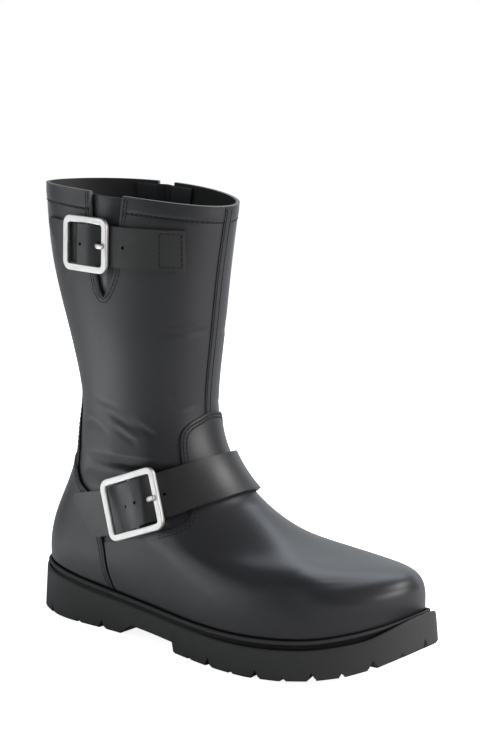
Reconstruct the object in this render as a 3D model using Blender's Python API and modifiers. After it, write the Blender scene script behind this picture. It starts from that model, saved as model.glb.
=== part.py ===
"""Buckle boot for the right foot: a pull-on boot with two strapped buckles and a lugged sole.

The toe points to +X, the outer side with the buckles is -Y, and the boot stands on z = 0.
Tables and sizes are in millimetres, measured from the back of the sole and from the floor.
A place on the upper is a level (one step per row of RINGS, 0 at the sole) and a turn
(0 at the toe and shin, a quarter turn on the outer side, half a turn at the heel).
"""
import math

import bmesh
import bpy
import numpy as np

MM = 0.001
PARTS_NAME = "buckle_boot"
CUTTERS_NAME = "cutters"

# Sole sizes
SOLE_LENGTH = 290.0
SOLE_CHAMFER = 1.4
SOLE_COLUMNS = 64
ARCH_START = 91.0
ARCH_TOP_START = 103.0
ARCH_TOP_END = 142.0
ARCH_END = 143.5
ARCH_RISE = 7.0

# Leather and gap sizes
WALL = 2.4
GAP = 0.5
VAMP_THICK = 1.1
COUNTER_THICK = 1.5
STAY_THICK = 1.0
STRAP_THICK = 2.2
GUSSET_THICK = 1.2
INSOLE_THICK = 4.0

# Plan of the sole: share of the length from the heel, middle line, half width
PLAN = (
    (1.000, 7.0, 0.0),
    (0.955, 7.0, 31.0),
    (0.880, 5.0, 46.0),
    (0.780, 2.0, 53.0),
    (0.680, -1.0, 54.5),
    (0.560, -4.0, 48.5),
    (0.420, -4.0, 40.5),
    (0.280, -2.0, 38.5),
    (0.150, 0.0, 40.0),
    (0.045, 0.0, 27.5),
    (0.000, 0.0, 0.0),
)

# Side view of the sole: station, height of the top, height of the tread
SIDE = (
    (0.0, 28.5, 0.0),
    (35.0, 26.5, 0.0),
    (70.0, 22.3, 0.0),
    (105.0, 19.3, 0.0),
    (145.0, 18.0, 0.0),
    (185.0, 17.8, 0.0),
    (205.0, 18.1, 0.0),
    (225.0, 19.2, 1.0),
    (245.0, 21.8, 3.6),
    (262.0, 25.9, 7.4),
    (276.0, 31.0, 12.6),
    (290.0, 40.0, 20.5),
)

# Sections of the upper: back x, back z, front x, front z, outer half width, inner half width,
# roundness (0 is the plan of the sole, 1 an ellipse), share of the sole's side curve, rise at the sides
RINGS = (
    (7.5, 28.7, 280.0, 35.0, 47.5, 47.5, 0.00, 1.00, 0.0),
    (6.5, 39.0, 280.0, 45.0, 48.5, 48.5, 0.00, 1.00, 0.0),
    (7.5, 51.0, 274.5, 58.8, 48.0, 47.5, 0.05, 0.90, 0.0),
    (11.0, 64.0, 245.5, 61.0, 44.5, 43.5, 0.20, 0.60, 0.0),
    (17.0, 77.0, 207.0, 63.5, 41.0, 40.0, 0.40, 0.30, 0.0),
    (24.0, 92.0, 170.5, 79.0, 38.0, 37.0, 0.70, 0.10, 0.0),
    (29.5, 108.0, 143.0, 104.0, 36.5, 36.0, 0.90, 0.00, 0.0),
    (33.2, 127.0, 131.5, 130.5, 36.3, 36.3, 1.00, 0.00, 0.0),
    (34.0, 150.0, 131.0, 157.0, 37.8, 37.8, 1.00, 0.00, 0.0),
    (23.0, 190.0, 135.6, 193.0, 40.8, 40.8, 1.00, 0.00, 0.0),
    (9.5, 233.0, 140.8, 231.0, 42.5, 42.5, 1.00, 0.00, 0.5),
    (3.5, 278.5, 148.0, 269.0, 42.0, 42.0, 1.00, 0.00, 3.0),
)
COLLAR = len(RINGS) - 1.0
UPPER_COLUMNS = 40
UPPER_ROWS = (0.0, 0.5, 1.0, 1.4, 1.8, 2.15, 2.5, 2.9, 3.4, 3.9, 4.4, 4.9, 5.4, 5.9, 6.4, 7.0, 7.6,
              8.3, 9.0, 9.7, 10.35, 11.0)

# Back edge of the vamp: turn in degrees, level
VAMP_EDGE = (
    (0.0, 7.42),
    (12.5, 7.31),
    (22.0, 7.20),
    (29.5, 7.02),
    (33.5, 6.70),
    (36.0, 6.30),
    (42.0, 5.55),
    (53.0, 4.96),
    (67.0, 4.56),
    (78.0, 4.26),
    (97.0, 3.50),
    (117.6, 2.62),
)
# On the inner side the vamp's peak reaches further round by this many degrees
VAMP_INNER_EXTRA = 12.0

# Top edge of the counter: turn in degrees, level
COUNTER_EDGE = (
    (119.0, 4.70),
    (127.0, 4.86),
    (133.0, 5.06),
    (141.0, 5.55),
    (156.0, 5.80),
    (180.0, 5.86),
)
OVERLAY_LOW = 0.56
OVERLAY_KNEE = 2.5
STEEP_TURNS = (33.0, 38.5, 45.0, 50.5)

# Strip up the back seam: level, half width in degrees of turn
BACKSTAY = (
    (6.05, 41.0),
    (6.60, 38.0),
    (7.20, 32.0),
    (8.00, 22.0),
    (8.80, 16.0),
    (9.60, 14.0),
    (10.40, 13.0),
    (11.03, 12.5),
)
FRONT_SEAM_HALF = 4.2
FRONT_SEAM_LEVELS = (7.62, 10.95)

# Slit in the outer side of the shaft: level, back turn and front turn in degrees
SLIT = (
    (9.52, 86.0, 85.0),
    (9.62, 88.6, 81.6),
    (9.85, 90.2, 77.0),
    (10.20, 91.2, 74.8),
    (11.20, 93.6, 72.0),
)
# The slit in the inner side is narrower and lies further back
SLIT_MIDDLE = 83.0
INNER_SLIT_MIDDLE = 101.0
INNER_SLIT_SHARE = 0.5
GUSSET_LEVELS = (9.30, 10.96)
GUSSET_HALF = 18.0

# Straps: height at a station, rise and bow there, width, first and last turn, slant of the tail,
# the lift of the underside at some turns, and, along the strap from the middle of the buckle, where the
# hump over the centre bar starts, is full and ends (towards the heel) and where the prong's hole is
# (towards the toe)
STRAP_STATION = 85.0
STRAPS = {
    "upper": {"height": 244.5, "rise": -0.029, "bow": 0.0, "width": 24.8, "front": 32.5, "tail": 124.0,
              "slant": 10.5, "lifts": ((0.0, GAP), (180.0, GAP)),
              "hump": (-14.0, -3.0, 3.5, 10.5), "hole": (2.6, 11.0)},
    "lower": {"height": 78.0, "rise": 0.342, "bow": 0.00087, "width": 29.4, "front": -112.0, "tail": 126.5,
              "slant": 7.7,
              "lifts": ((-112.0, 2.4), (-60.0, 2.8), (-35.0, 3.4), (35.0, 3.4), (60.0, 2.8), (80.0, 2.5),
                        (105.0, 2.5), (113.0, 2.7)),
              "hump": (-15.5, -7.0, 5.0, 17.5), "hole": (6.6, 14.6)},
}
STRAP_STEP = 6.0
STRAP_FINE_STEP = 2.4
HOLE_HALF = 1.8

# Buckles: turn, size along and across the strap, lift of the underside, and the prong's path as distance
# from the centre bar towards the toe and height above the underside
BUCKLES = {
    "upper": {"turn": 92.6, "long": 37.5, "tall": 34.2, "lift": 2.2,
              "prong": ((1.4, 0.6), (4.5, 0.8), (7.5, 2.2), (10.5, 3.6), (12.5, 3.75), (17.0, 3.75))},
    "lower": {"turn": 82.0, "long": 45.5, "tall": 39.2, "lift": 5.2,
              "prong": ((1.4, 0.5), (8.0, 0.4), (11.0, 1.6), (14.0, 3.4), (16.5, 3.75), (21.0, 3.75))},
}
BUCKLE_BAR = 4.3
BUCKLE_THICK = 2.7
BUCKLE_CORNER = 6.0
CENTRE_BAR_RADIUS = 0.6
OVER_BAR = 0.4
PRONG_WIDE = 1.2
PRONG_THICK = 0.7

# Welt bead: distance out from the upper, height above the sole
WELT_PROFILE = (
    (2.1, 0.5),
    (2.1, 3.3),
    (2.6, 4.2),
    (3.4, 4.5),
    (4.3, 4.1),
    (4.8, 3.2),
    (4.8, 0.5),
)
WELT_COLUMNS = 56

# Lugs: notches cut in the lower edge, and grooves between the edge lugs and the middle blocks
NOTCH_STEP = 18.0
FOREFOOT_NOTCH_TURN = 85.0
HEEL_NOTCH_TURNS = (118.7, 128.5, 144.0, 165.0)
NOTCH_LARGE = {"wide": 6.0, "high": 6.0, "deep": 15.0}
NOTCH_SMALL = {"wide": 3.6, "high": 3.6, "deep": 8.0}
GROOVE_INSET = 17.0
GROOVE_WIDE = 4.0
GROOVE_DEEP = 4.0
GROOVE_SPANS = ((150.0, 224.0), (22.0, 78.0))
CROSS_GROOVES = (168.0, 188.0, 207.0, 40.0, 59.0)


def spline(knots, values, places):
    """Smooth curve through the rows of a table, bending least between them."""
    knots = np.asarray(knots, float)
    values = np.asarray(values, float)
    flat = values.reshape(len(knots), -1)
    steps = np.diff(knots)
    count = len(knots)
    system = np.eye(count)
    pull = np.zeros_like(flat)
    for row in range(1, count - 1):
        system[row, row - 1] = steps[row - 1]
        system[row, row] = 2.0 * (steps[row - 1] + steps[row])
        system[row, row + 1] = steps[row]
        after = (flat[row + 1] - flat[row]) / steps[row]
        before = (flat[row] - flat[row - 1]) / steps[row - 1]
        pull[row] = 6.0 * (after - before)
    bend = np.linalg.solve(system, pull)
    places = np.asarray(places, float)
    at = np.clip(np.searchsorted(knots, places, side="right") - 1, 0, count - 2)
    step = steps[at][..., None]
    ahead = ((places - knots[at]) / steps[at])[..., None]
    behind = 1.0 - ahead
    curve = ((behind ** 3 - behind) * bend[at] + (ahead ** 3 - ahead) * bend[at + 1]) * step ** 2 / 6.0
    result = behind * flat[at] + ahead * flat[at + 1] + curve
    return result.reshape(places.shape + values.shape[1:])


def smooth(share):
    """Ease from 0 to 1."""
    share = np.clip(share, 0.0, 1.0)
    return share * share * (3.0 - 2.0 * share)


def column(table, index):
    """One column of a table as an array."""
    return np.array([row[index] for row in table], float)


PLAN_TURNS = np.arccos(2.0 * column(PLAN, 0) - 1.0)
PLAN_VALUES = np.array([row[1:] for row in PLAN])
BALL_HALF = PLAN_VALUES[:, 1].max()


def plan(turn):
    """Middle line, half width, side and folded turn of the sole's plan."""
    turn = np.mod(np.asarray(turn, float), 2.0 * np.pi)
    folded = np.where(turn <= np.pi, turn, 2.0 * np.pi - turn)
    side = np.where(turn <= np.pi, -1.0, 1.0)
    values = spline(PLAN_TURNS, PLAN_VALUES, folded)
    return values[..., 0], values[..., 1], side, folded


def sole_edge(turn, inset=0.0):
    """Plan position of the sole's edge, moved inwards by the inset."""
    def edge(angle):
        middle, half, side, _ = plan(angle)
        x = SOLE_LENGTH * (1.0 + np.cos(angle)) / 2.0
        return np.stack([x, middle + side * half], -1)

    turn = np.asarray(turn, float)
    along = edge(turn + 0.002) - edge(turn - 0.002)
    along /= np.linalg.norm(along, axis=-1, keepdims=True)
    inward = np.stack([along[..., 1], -along[..., 0]], -1)
    return edge(turn) + inward * inset


def sole_top(x):
    """Height of the sole's top at a station."""
    return spline(column(SIDE, 0), column(SIDE, 1), np.clip(x, 0.0, SOLE_LENGTH))


def tread(x):
    """Height of the tread at a station, with the arch between heel and forefoot."""
    low = np.interp(x, column(SIDE, 0), column(SIDE, 2))
    arch_x = (ARCH_START, ARCH_TOP_START, ARCH_TOP_END, ARCH_END)
    return low + np.interp(x, arch_x, (0.0, ARCH_RISE, ARCH_RISE - 0.8, 0.0))


def ring(row, turn):
    """One section of the upper."""
    back_x, back_z, front_x, front_z, outer, inner, rounded, bed, crown = row
    middle, half, side, folded = plan(turn)
    share = (1.0 + np.cos(turn)) / 2.0
    x = back_x + (front_x - back_x) * share
    shape = half / BALL_HALF * (1.0 - rounded) + np.sin(folded) * rounded
    y = middle * (1.0 - rounded) + side * np.where(side < 0.0, outer, inner) * shape
    chord = sole_top(back_x) + (sole_top(front_x) - sole_top(back_x)) * share
    z = back_z + (front_z - back_z) * share + bed * (sole_top(x) - chord) + crown * np.sin(turn) ** 2
    return np.stack([x, y, z], -1)


def bare_upper(level, turn):
    """Points of the upper's outer face, through the sections."""
    shape = level.shape
    level = level.ravel()
    turn = turn.ravel()
    sections = np.stack([ring(row, turn) for row in RINGS])
    count = len(RINGS)
    system = np.eye(count)
    for row in range(1, count - 1):
        system[row, row - 1:row + 2] = (1.0, 4.0, 1.0)
    pull = np.zeros_like(sections)
    pull[1:-1] = 6.0 * (sections[2:] - 2.0 * sections[1:-1] + sections[:-2])
    bend = np.linalg.solve(system, pull.reshape(count, -1)).reshape(sections.shape)
    low = np.clip(np.floor(level).astype(int), 0, count - 2)
    ahead = (level - low)[:, None]
    behind = 1.0 - ahead
    at = np.arange(len(level))
    points = behind * sections[low, at] + ahead * sections[low + 1, at]
    points += ((behind ** 3 - behind) * bend[low, at] + (ahead ** 3 - ahead) * bend[low + 1, at]) / 6.0
    return points.reshape(shape + (3,))


def upper_normal(level, turn):
    """Outward direction of the upper's outer face."""
    step = 0.004
    up = bare_upper(level + step, turn) - bare_upper(level - step, turn)
    around = bare_upper(level, turn + step) - bare_upper(level, turn - step)
    normal = np.cross(up, around)
    return normal / np.linalg.norm(normal, axis=-1, keepdims=True)


def upper_point(level, turn, lift=0.0):
    """Points on the upper, lifted off its outer face."""
    level, turn, lift = np.broadcast_arrays(np.asarray(level, float), np.asarray(turn, float),
                                            np.asarray(lift, float))
    return bare_upper(level, turn) + upper_normal(level, turn) * lift[..., None]


def world(points):
    """Millimetres from the back of the sole to metres about the middle of the boot."""
    edge_y = sole_edge(np.linspace(0.0, 2.0 * np.pi, 721))[:, 1]
    middle = np.array([SOLE_LENGTH / 2.0, (edge_y.min() + edge_y.max()) / 2.0, 0.0])
    return (np.asarray(points, float) - middle) * MM


def new_collection(name):
    """An empty collection linked to the scene."""
    collection = bpy.data.collections.new(name)
    bpy.context.scene.collection.children.link(collection)
    return collection


def new_material(name, colour, roughness, metallic=0.0):
    """A plain material for one kind of piece."""
    material = bpy.data.materials.new(name)
    material.use_nodes = True
    shader = material.node_tree.nodes["Principled BSDF"]
    shader.inputs["Base Color"].default_value = (*colour, 1.0)
    shader.inputs["Roughness"].default_value = roughness
    shader.inputs["Metallic"].default_value = metallic
    return material


def new_object(name, points, faces, collection, material=None, smooth=True):
    """A mesh object from points in millimetres."""
    mesh = bpy.data.meshes.new(name)
    mesh.from_pydata([tuple(point) for point in world(points)], [], faces)
    bm = bmesh.new()
    bm.from_mesh(mesh)
    if all(len(edge.link_faces) == 2 for edge in bm.edges):
        bmesh.ops.recalc_face_normals(bm, faces=bm.faces)
    bm.to_mesh(mesh)
    bm.free()
    mesh.polygons.foreach_set("use_smooth", [smooth] * len(mesh.polygons))
    if material:
        mesh.materials.append(material)
    piece = bpy.data.objects.new(name, mesh)
    collection.objects.link(piece)
    return piece


def grid_faces(rows, columns, closed=False):
    """Faces of a grid of points; a closed grid joins its last column to its first."""
    faces = []
    spans = columns if closed else columns - 1
    for row in range(rows - 1):
        for place in range(spans):
            ahead = (place + 1) % columns
            faces.append((row * columns + place, (row + 1) * columns + place,
                          (row + 1) * columns + ahead, row * columns + ahead))
    return faces


def sheet(name, points, thick, collection, material, closed=False):
    """A leather sheet: a grid of points on its outer face, thickened inwards."""
    rows, columns = points.shape[:2]
    faces = grid_faces(rows, columns, closed)
    piece = new_object(name, points.reshape(-1, 3), faces, collection, material)
    solid = piece.modifiers.new("Thickness", "SOLIDIFY")
    solid.thickness = thick * MM
    solid.offset = -1.0
    solid.use_even_offset = True
    solid.use_rim = True
    return piece


def ladder(name, rings, collection, material, smooth=True):
    """A solid from rings of points around the boot, closed across its top and its underside."""
    columns = rings.shape[1]
    half = columns // 2
    faces = grid_faces(len(rings), columns, closed=True)
    for base in (0, (len(rings) - 1) * columns):
        faces.append((base, base + 1, base + columns - 1))
        for place in range(1, half - 1):
            faces.append((base + place, base + place + 1, base + columns - place - 1,
                          base + columns - place))
        faces.append((base + half - 1, base + half, base + half + 1))
    return new_object(name, rings.reshape(-1, 3), faces, collection, material, smooth)


def prism(name, low, high, collection):
    """A closed cutter between two outlines of the same number of points."""
    count = len(low)
    faces = [(i, (i + 1) % count, count + (i + 1) % count, count + i) for i in range(count)]
    faces.append(tuple(range(count)))
    faces.append(tuple(range(count, 2 * count)))
    cutter = new_object(name, np.concatenate([low, high]), faces, collection, None, False)
    cutter.hide_render = True
    cutter.display_type = "WIRE"
    return cutter


def cut(piece, cutter):
    """Take a cutter's shape out of a piece."""
    boolean = piece.modifiers.new("Cut " + cutter.name, "BOOLEAN")
    boolean.operation = "DIFFERENCE"
    boolean.solver = "EXACT"
    boolean.object = cutter


def sole_turns():
    """Turns of the sole's columns, the same on both sides, with the ends of the arch among them."""
    half = np.linspace(0.0, np.pi, SOLE_COLUMNS // 2 + 1)
    stations = np.array((ARCH_START, ARCH_TOP_START, ARCH_TOP_END, ARCH_END))
    half = np.unique(np.concatenate([half, np.arccos(2.0 * stations / SOLE_LENGTH - 1.0)]))
    spaced = [half[0]]
    breaks = np.arccos(2.0 * stations / SOLE_LENGTH - 1.0)
    for angle in half[1:]:
        close = angle - spaced[-1] < 0.03
        if close and np.min(np.abs(breaks - angle)) > 1e-9:
            continue
        if close and np.min(np.abs(breaks - spaced[-1])) > 1e-9:
            spaced.pop()
        spaced.append(angle)
    half = np.array(spaced)
    return np.concatenate([half, 2.0 * np.pi - half[-2:0:-1]])


def build_outsole(parts, cutters, material):
    """Rubber sole: lugged tread, heel, arch, toe spring and plain wall."""
    turns = sole_turns()
    edge = sole_edge(turns)
    under = sole_edge(turns, SOLE_CHAMFER)
    low = tread(edge[:, 0])
    high = sole_top(edge[:, 0])
    lip = sole_edge(turns, 0.7)
    rings = np.stack([
        np.column_stack([under, low]),
        np.column_stack([edge, low + SOLE_CHAMFER]),
        np.column_stack([edge, high - 0.7]),
        np.column_stack([lip, sole_top(lip[:, 0])]),
    ])
    outsole = ladder("outsole", rings, parts, material, smooth=False)
    for number, (angle, size) in enumerate(notch_places()):
        cut(outsole, notch_cutter(number, angle, size, cutters))
    for number, (start, end) in enumerate(GROOVE_SPANS):
        for name, sign in (("outer", 1.0), ("inner", -1.0)):
            cut(outsole, groove_cutter(f"groove_{name}_{number}", start, end, sign, cutters))
    for number, station in enumerate(CROSS_GROOVES):
        cut(outsole, cross_cutter(number, station, cutters))
    return outsole


def notch_places():
    """Turn and size of each notch, large and small by turns round the forefoot and the heel."""
    turns = np.linspace(math.radians(FOREFOOT_NOTCH_TURN), -math.radians(FOREFOOT_NOTCH_TURN), 2000)
    edge = sole_edge(turns)
    run = np.concatenate([[0.0], np.cumsum(np.linalg.norm(np.diff(edge, axis=0), axis=1))])
    places = []
    for number in range(int(run[-1] / NOTCH_STEP) + 1):
        angle = float(np.interp(number * NOTCH_STEP, run, turns))
        places.append((angle, NOTCH_LARGE if number % 2 else NOTCH_SMALL))
    for number, degrees in enumerate(HEEL_NOTCH_TURNS):
        size = NOTCH_SMALL if number % 2 else NOTCH_LARGE
        places.append((math.radians(degrees), size))
        places.append((-math.radians(degrees), size))
    return places


def notch_cutter(number, angle, size, cutters):
    """A triangular notch through the lower edge of the sole, square to the edge."""
    place = sole_edge(angle)
    ahead = sole_edge(angle + 0.002) - sole_edge(angle - 0.002)
    ahead /= np.linalg.norm(ahead)
    inward = sole_edge(angle, 1.0) - place
    floor = float(tread(place[0]))
    ends = []
    for depth in (-3.0, size["deep"]):
        middle = place + inward * depth
        left = middle + ahead * size["wide"] * 0.75
        right = middle - ahead * size["wide"] * 0.75
        base = floor - size["high"] * 0.5
        ends.append(np.array([[left[0], left[1], base], [right[0], right[1], base],
                              [middle[0], middle[1], floor + size["high"]]]))
    return prism(f"notch_{number}", ends[0], ends[1], cutters)


def groove_cutter(name, start, end, sign, cutters):
    """A groove along the tread, a set distance inside the sole's edge."""
    turns = np.arccos(2.0 * np.linspace(start, end, 7) / SOLE_LENGTH - 1.0) * sign
    near = sole_edge(turns, GROOVE_INSET)
    far = sole_edge(turns, GROOVE_INSET + GROOVE_WIDE)
    outline = np.concatenate([near, far[::-1]])
    low = np.column_stack([outline, np.full(len(outline), -2.0)])
    high = np.column_stack([outline, tread(outline[:, 0]) + GROOVE_DEEP])
    return prism(name, low, high, cutters)


def cross_cutter(number, station, cutters):
    """A groove across the tread between the two lengthwise grooves."""
    angle = math.acos(2.0 * station / SOLE_LENGTH - 1.0)
    reach = GROOVE_INSET + GROOVE_WIDE / 2.0
    outer = sole_edge(angle, reach)[1]
    inner = sole_edge(-angle, reach)[1]
    half = GROOVE_WIDE / 2.0
    outline = np.array([[station - half, outer], [station + half, outer],
                        [station + half, inner], [station - half, inner]])
    low = np.column_stack([outline, np.full(4, -2.0)])
    high = np.column_stack([outline, tread(outline[:, 0]) + GROOVE_DEEP - 0.5])
    return prism(f"cross_groove_{number}", low, high, cutters)


def foot_edge(turn, out):
    """Plan of the upper's lower edge, moved outwards."""
    turn = np.asarray(turn, float)
    along = ring(RINGS[0], turn + 0.002)[..., :2] - ring(RINGS[0], turn - 0.002)[..., :2]
    along /= np.linalg.norm(along, axis=-1, keepdims=True)
    outward = np.stack([-along[..., 1], along[..., 0]], -1)
    return ring(RINGS[0], turn)[..., :2] + outward * out


def build_welt(parts, material):
    """Bead of rubber round the upper, on top of the sole."""
    turns = np.linspace(0.0, 2.0 * np.pi, WELT_COLUMNS, endpoint=False)
    rows = []
    for out, rise in WELT_PROFILE + WELT_PROFILE[:1]:
        place = foot_edge(turns, out)
        rows.append(np.column_stack([place, sole_top(place[:, 0]) + rise]))
    points = np.stack(rows[:-1])
    count = len(points)
    faces = []
    for row in range(count):
        for place in range(WELT_COLUMNS):
            ahead = (place + 1) % WELT_COLUMNS
            over = (row + 1) % count
            faces.append((row * WELT_COLUMNS + place, over * WELT_COLUMNS + place,
                          over * WELT_COLUMNS + ahead, row * WELT_COLUMNS + ahead))
    return new_object("welt", points.reshape(-1, 3), faces, parts, material)


def build_insole(parts, material):
    """Footbed on the sole, inside the upper."""
    half = np.linspace(0.0, np.pi, 23)
    turns = np.concatenate([half, 2.0 * np.pi - half[-2:0:-1]])
    place = foot_edge(turns, -WALL - 0.9)
    base = sole_top(place[:, 0])
    rings = np.stack([np.column_stack([place, base + 0.35]), np.column_stack([place, base + INSOLE_THICK])])
    return ladder("insole", rings, parts, material, smooth=False)


def build_upper(parts, cutters, material):
    """The leather shell: shaft, foot and toe in one wall, open at the collar and underneath."""
    turns = np.linspace(0.0, 2.0 * np.pi, UPPER_COLUMNS, endpoint=False)
    points = upper_point(np.array(UPPER_ROWS)[:, None], turns[None, :])
    upper = sheet("upper", points, WALL, parts, material, closed=True)
    for name, sign in (("outer", 1.0), ("inner", -1.0)):
        cut(upper, slit_cutter(f"slit_{name}", sign, cutters))
    return upper


def slit_cutter(name, sign, cutters):
    """The pointed slit down one side of the shaft."""
    levels = np.concatenate([column(SLIT, 0), column(SLIT, 0)[::-1]])
    turns = np.concatenate([column(SLIT, 1), column(SLIT, 2)[::-1]])
    if sign < 0.0:
        turns = INNER_SLIT_MIDDLE + (turns - SLIT_MIDDLE) * INNER_SLIT_SHARE
    turns = np.radians(turns) * sign
    low = upper_point(levels, turns, -WALL - 3.0)
    high = upper_point(levels, turns, 3.0)
    return prism(name, low, high, cutters)


def inner_vamp_edge():
    """The vamp's edge on the inner side, its peak further round."""
    turns = column(VAMP_EDGE, 0)
    fade = smooth(turns / VAMP_EDGE[1][0]) * smooth((turns[-1] - turns) / 60.0)
    return list(zip(turns + VAMP_INNER_EXTRA * fade, column(VAMP_EDGE, 1)))


def edge_sheet(name, edge, inner_edge, middle_turn, thick, parts, material):
    """An overlay from the sole up to an edge curve on each side of a middle turn."""
    step = 360.0 / UPPER_COLUMNS
    ends = (edge[0][0], edge[-1][0])
    between = np.arange(math.ceil(ends[0] / step) * step, ends[1], step)
    steep = [turn for turn in STEEP_TURNS if ends[0] < turn < ends[1]]
    half = np.unique(np.concatenate([ends, between[between - ends[0] > 1.0], steep]))
    if middle_turn == 0.0:
        turns = np.concatenate([-half[:0:-1], half])
    else:
        turns = np.concatenate([half, 360.0 - half[-2::-1]])
    folded = np.where(turns > 180.0, 360.0 - turns, np.abs(turns))
    outer_tops = np.interp(folded, column(edge, 0), column(edge, 1))
    inner_tops = np.interp(folded, column(inner_edge, 0), column(inner_edge, 1))
    tops = np.where((turns < 0.0) | (turns > 180.0), inner_tops, outer_tops)
    rows = np.array([OVERLAY_LOW] + [row for row in UPPER_ROWS if OVERLAY_LOW < row < tops.max() - 0.2])
    rows = np.append(rows, tops.max())[:, None]
    share = np.clip((rows - OVERLAY_KNEE) / (tops.max() - OVERLAY_KNEE), 0.0, 1.0)
    levels = np.minimum(rows, OVERLAY_KNEE) + (tops[None, :] - OVERLAY_KNEE) * share
    points = upper_point(levels, np.radians(turns)[None, :], GAP + thick)
    return sheet(name, points, thick, parts, material)


def build_vamp(parts, material):
    """Leather over the toe and instep, with a rounded peak up the shin."""
    return edge_sheet("vamp", VAMP_EDGE, inner_vamp_edge(), 0.0, VAMP_THICK, parts, material)


def build_counter(parts, material):
    """Stiff leather round the heel."""
    return edge_sheet("counter", COUNTER_EDGE, COUNTER_EDGE, 180.0, COUNTER_THICK, parts, material)


def build_backstay(parts, material):
    """Strip that covers the back seam, wider towards the heel."""
    levels = np.array([BACKSTAY[0][0]] + [row for row in UPPER_ROWS if row > BACKSTAY[0][0] + 0.1])
    levels[-1] = BACKSTAY[-1][0]
    half = spline(column(BACKSTAY, 0), column(BACKSTAY, 1), levels)
    across = np.linspace(-1.0, 1.0, 9)[None, :]
    turns = np.radians(180.0 + half[:, None] * across)
    points = upper_point(levels[:, None], turns, GAP + STAY_THICK)
    return sheet("backstay", points, STAY_THICK, parts, material)


def build_front_seam(parts, material):
    """Narrow raised seam up the shin."""
    low, high = FRONT_SEAM_LEVELS
    levels = np.array([low] + [row for row in UPPER_ROWS if low + 0.1 < row < high] + [high])[:, None]
    turns = np.radians(np.array([-1.0, 0.0, 1.0]))[None, :] * FRONT_SEAM_HALF
    return sheet("front_seam", upper_point(levels, turns, GAP + 0.7), 0.7, parts, material)


def build_gusset(name, sign, parts, material):
    """Soft leather behind one slit, inside the shaft."""
    levels = np.linspace(*GUSSET_LEVELS, 7)[:, None]
    middle = SLIT_MIDDLE if sign > 0.0 else INNER_SLIT_MIDDLE
    turns = np.radians(sign * middle + np.linspace(-GUSSET_HALF, GUSSET_HALF, 6))[None, :]
    points = upper_point(levels, turns, -WALL - GAP)
    return sheet(name, points, GUSSET_THICK, parts, material)


class Strap:
    """The band of one strap: where it runs on the upper and how far along it is."""

    def __init__(self, name):
        self.name = name
        self.sizes = STRAPS[name]
        self.buckle = BUCKLES[name]
        self.turns = np.radians(np.arange(-130.0, 160.0, 0.5))
        self.levels = np.linspace(0.0, COLLAR, 551)
        grid = bare_upper(*np.meshgrid(self.levels, self.turns, indexing="ij"))
        ahead = grid[..., 0] - STRAP_STATION
        line = self.sizes["height"] + self.sizes["rise"] * ahead + self.sizes["bow"] * ahead ** 2
        self.height = grid[..., 2] - line
        self.middle, self.toe, self.up, self.out = self.buckle_frame()

    def level_at(self, offset, turns):
        """Level where the strap's line at an offset across its width meets each turn."""
        slope = math.sqrt(1.0 + self.sizes["rise"] ** 2)
        levels = [np.interp(offset * slope, self.height[:, place], self.levels)
                  for place in range(len(self.turns))]
        return np.interp(turns, self.turns, levels)

    def buckle_frame(self):
        """Middle of the buckle on the upper, and its directions towards the toe, up and out."""
        at = math.radians(self.buckle["turn"])
        reach = math.radians(18.0)
        half = self.sizes["width"] / 2.0
        turns = np.array([at - reach, at, at + reach])
        rows = [upper_point(self.level_at(offset, turns), turns) for offset in (-half, 0.0, half)]
        toe = rows[1][0] - rows[1][2]
        toe /= np.linalg.norm(toe)
        up = rows[2][1] - rows[0][1]
        up -= toe * np.dot(up, toe)
        up /= np.linalg.norm(up)
        return rows[1][1], toe, up, np.cross(toe, up)

    def runs(self, offset):
        """Distance along one line of the strap at each turn, from the buckle towards the heel."""
        line = upper_point(self.level_at(offset, self.turns), self.turns)
        steps = np.linalg.norm(np.diff(line, axis=0), axis=1)
        run = np.concatenate([[0.0], np.cumsum(steps)])
        near = np.abs(self.turns - math.radians(self.buckle["turn"])) < 0.6
        beside = (self.middle - line) @ self.toe
        return run - np.interp(0.0, beside[near], run[near])

    def lift_at(self, run, turns):
        """Lift of the strap's underside, with the hump over the buckle's centre bar."""
        start, full, last, end = self.sizes["hump"]
        hump = smooth((run - start) / (full - start)) * smooth((end - run) / (end - last))
        base = self.base_lift(np.degrees(turns))
        over = self.buckle["lift"] + 2.0 * CENTRE_BAR_RADIUS + OVER_BAR
        return base + hump * (over - self.base_lift(self.buckle["turn"]))

    def base_lift(self, degrees):
        """Lift of the strap's underside away from its buckle."""
        return np.interp(degrees, column(self.sizes["lifts"], 0), column(self.sizes["lifts"], 1))


def build_strap(strap, parts, cutters, material):
    """One strap from its sewn end, under the buckle and over its centre bar, to its slanted tail."""
    sizes = strap.sizes
    middle_run = strap.runs(0.0)
    start = np.interp(math.radians(sizes["front"]), strap.turns, middle_run)
    end = np.interp(math.radians(sizes["tail"]), strap.turns, middle_run)
    fine = np.arange(sizes["hump"][0] - 2.4, sizes["hump"][3] + 2.5, STRAP_FINE_STEP)
    ahead = np.linspace(start, fine[0], max(2, int((fine[0] - start) / STRAP_STEP) + 1))[:-1]
    behind = np.linspace(fine[-1], end, max(2, int((end - fine[-1]) / STRAP_STEP) + 1))[1:]
    even = np.concatenate([ahead, fine, behind])
    share = np.clip((even - fine[-1]) / (end - fine[-1]), 0.0, 1.0)
    rows = []
    for across in np.linspace(-1.0, 1.0, 5):
        offset = across * sizes["width"] / 2.0
        run = even + sizes["slant"] * across * share
        turns = np.interp(run, strap.runs(offset), strap.turns)
        lift = strap.lift_at(run, turns) + STRAP_THICK
        rows.append(upper_point(strap.level_at(offset, turns), turns, lift))
    piece = sheet(f"strap_{strap.name}", np.stack(rows), STRAP_THICK, parts, material)
    cut(piece, hole_cutter(strap, cutters))
    return piece


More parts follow.
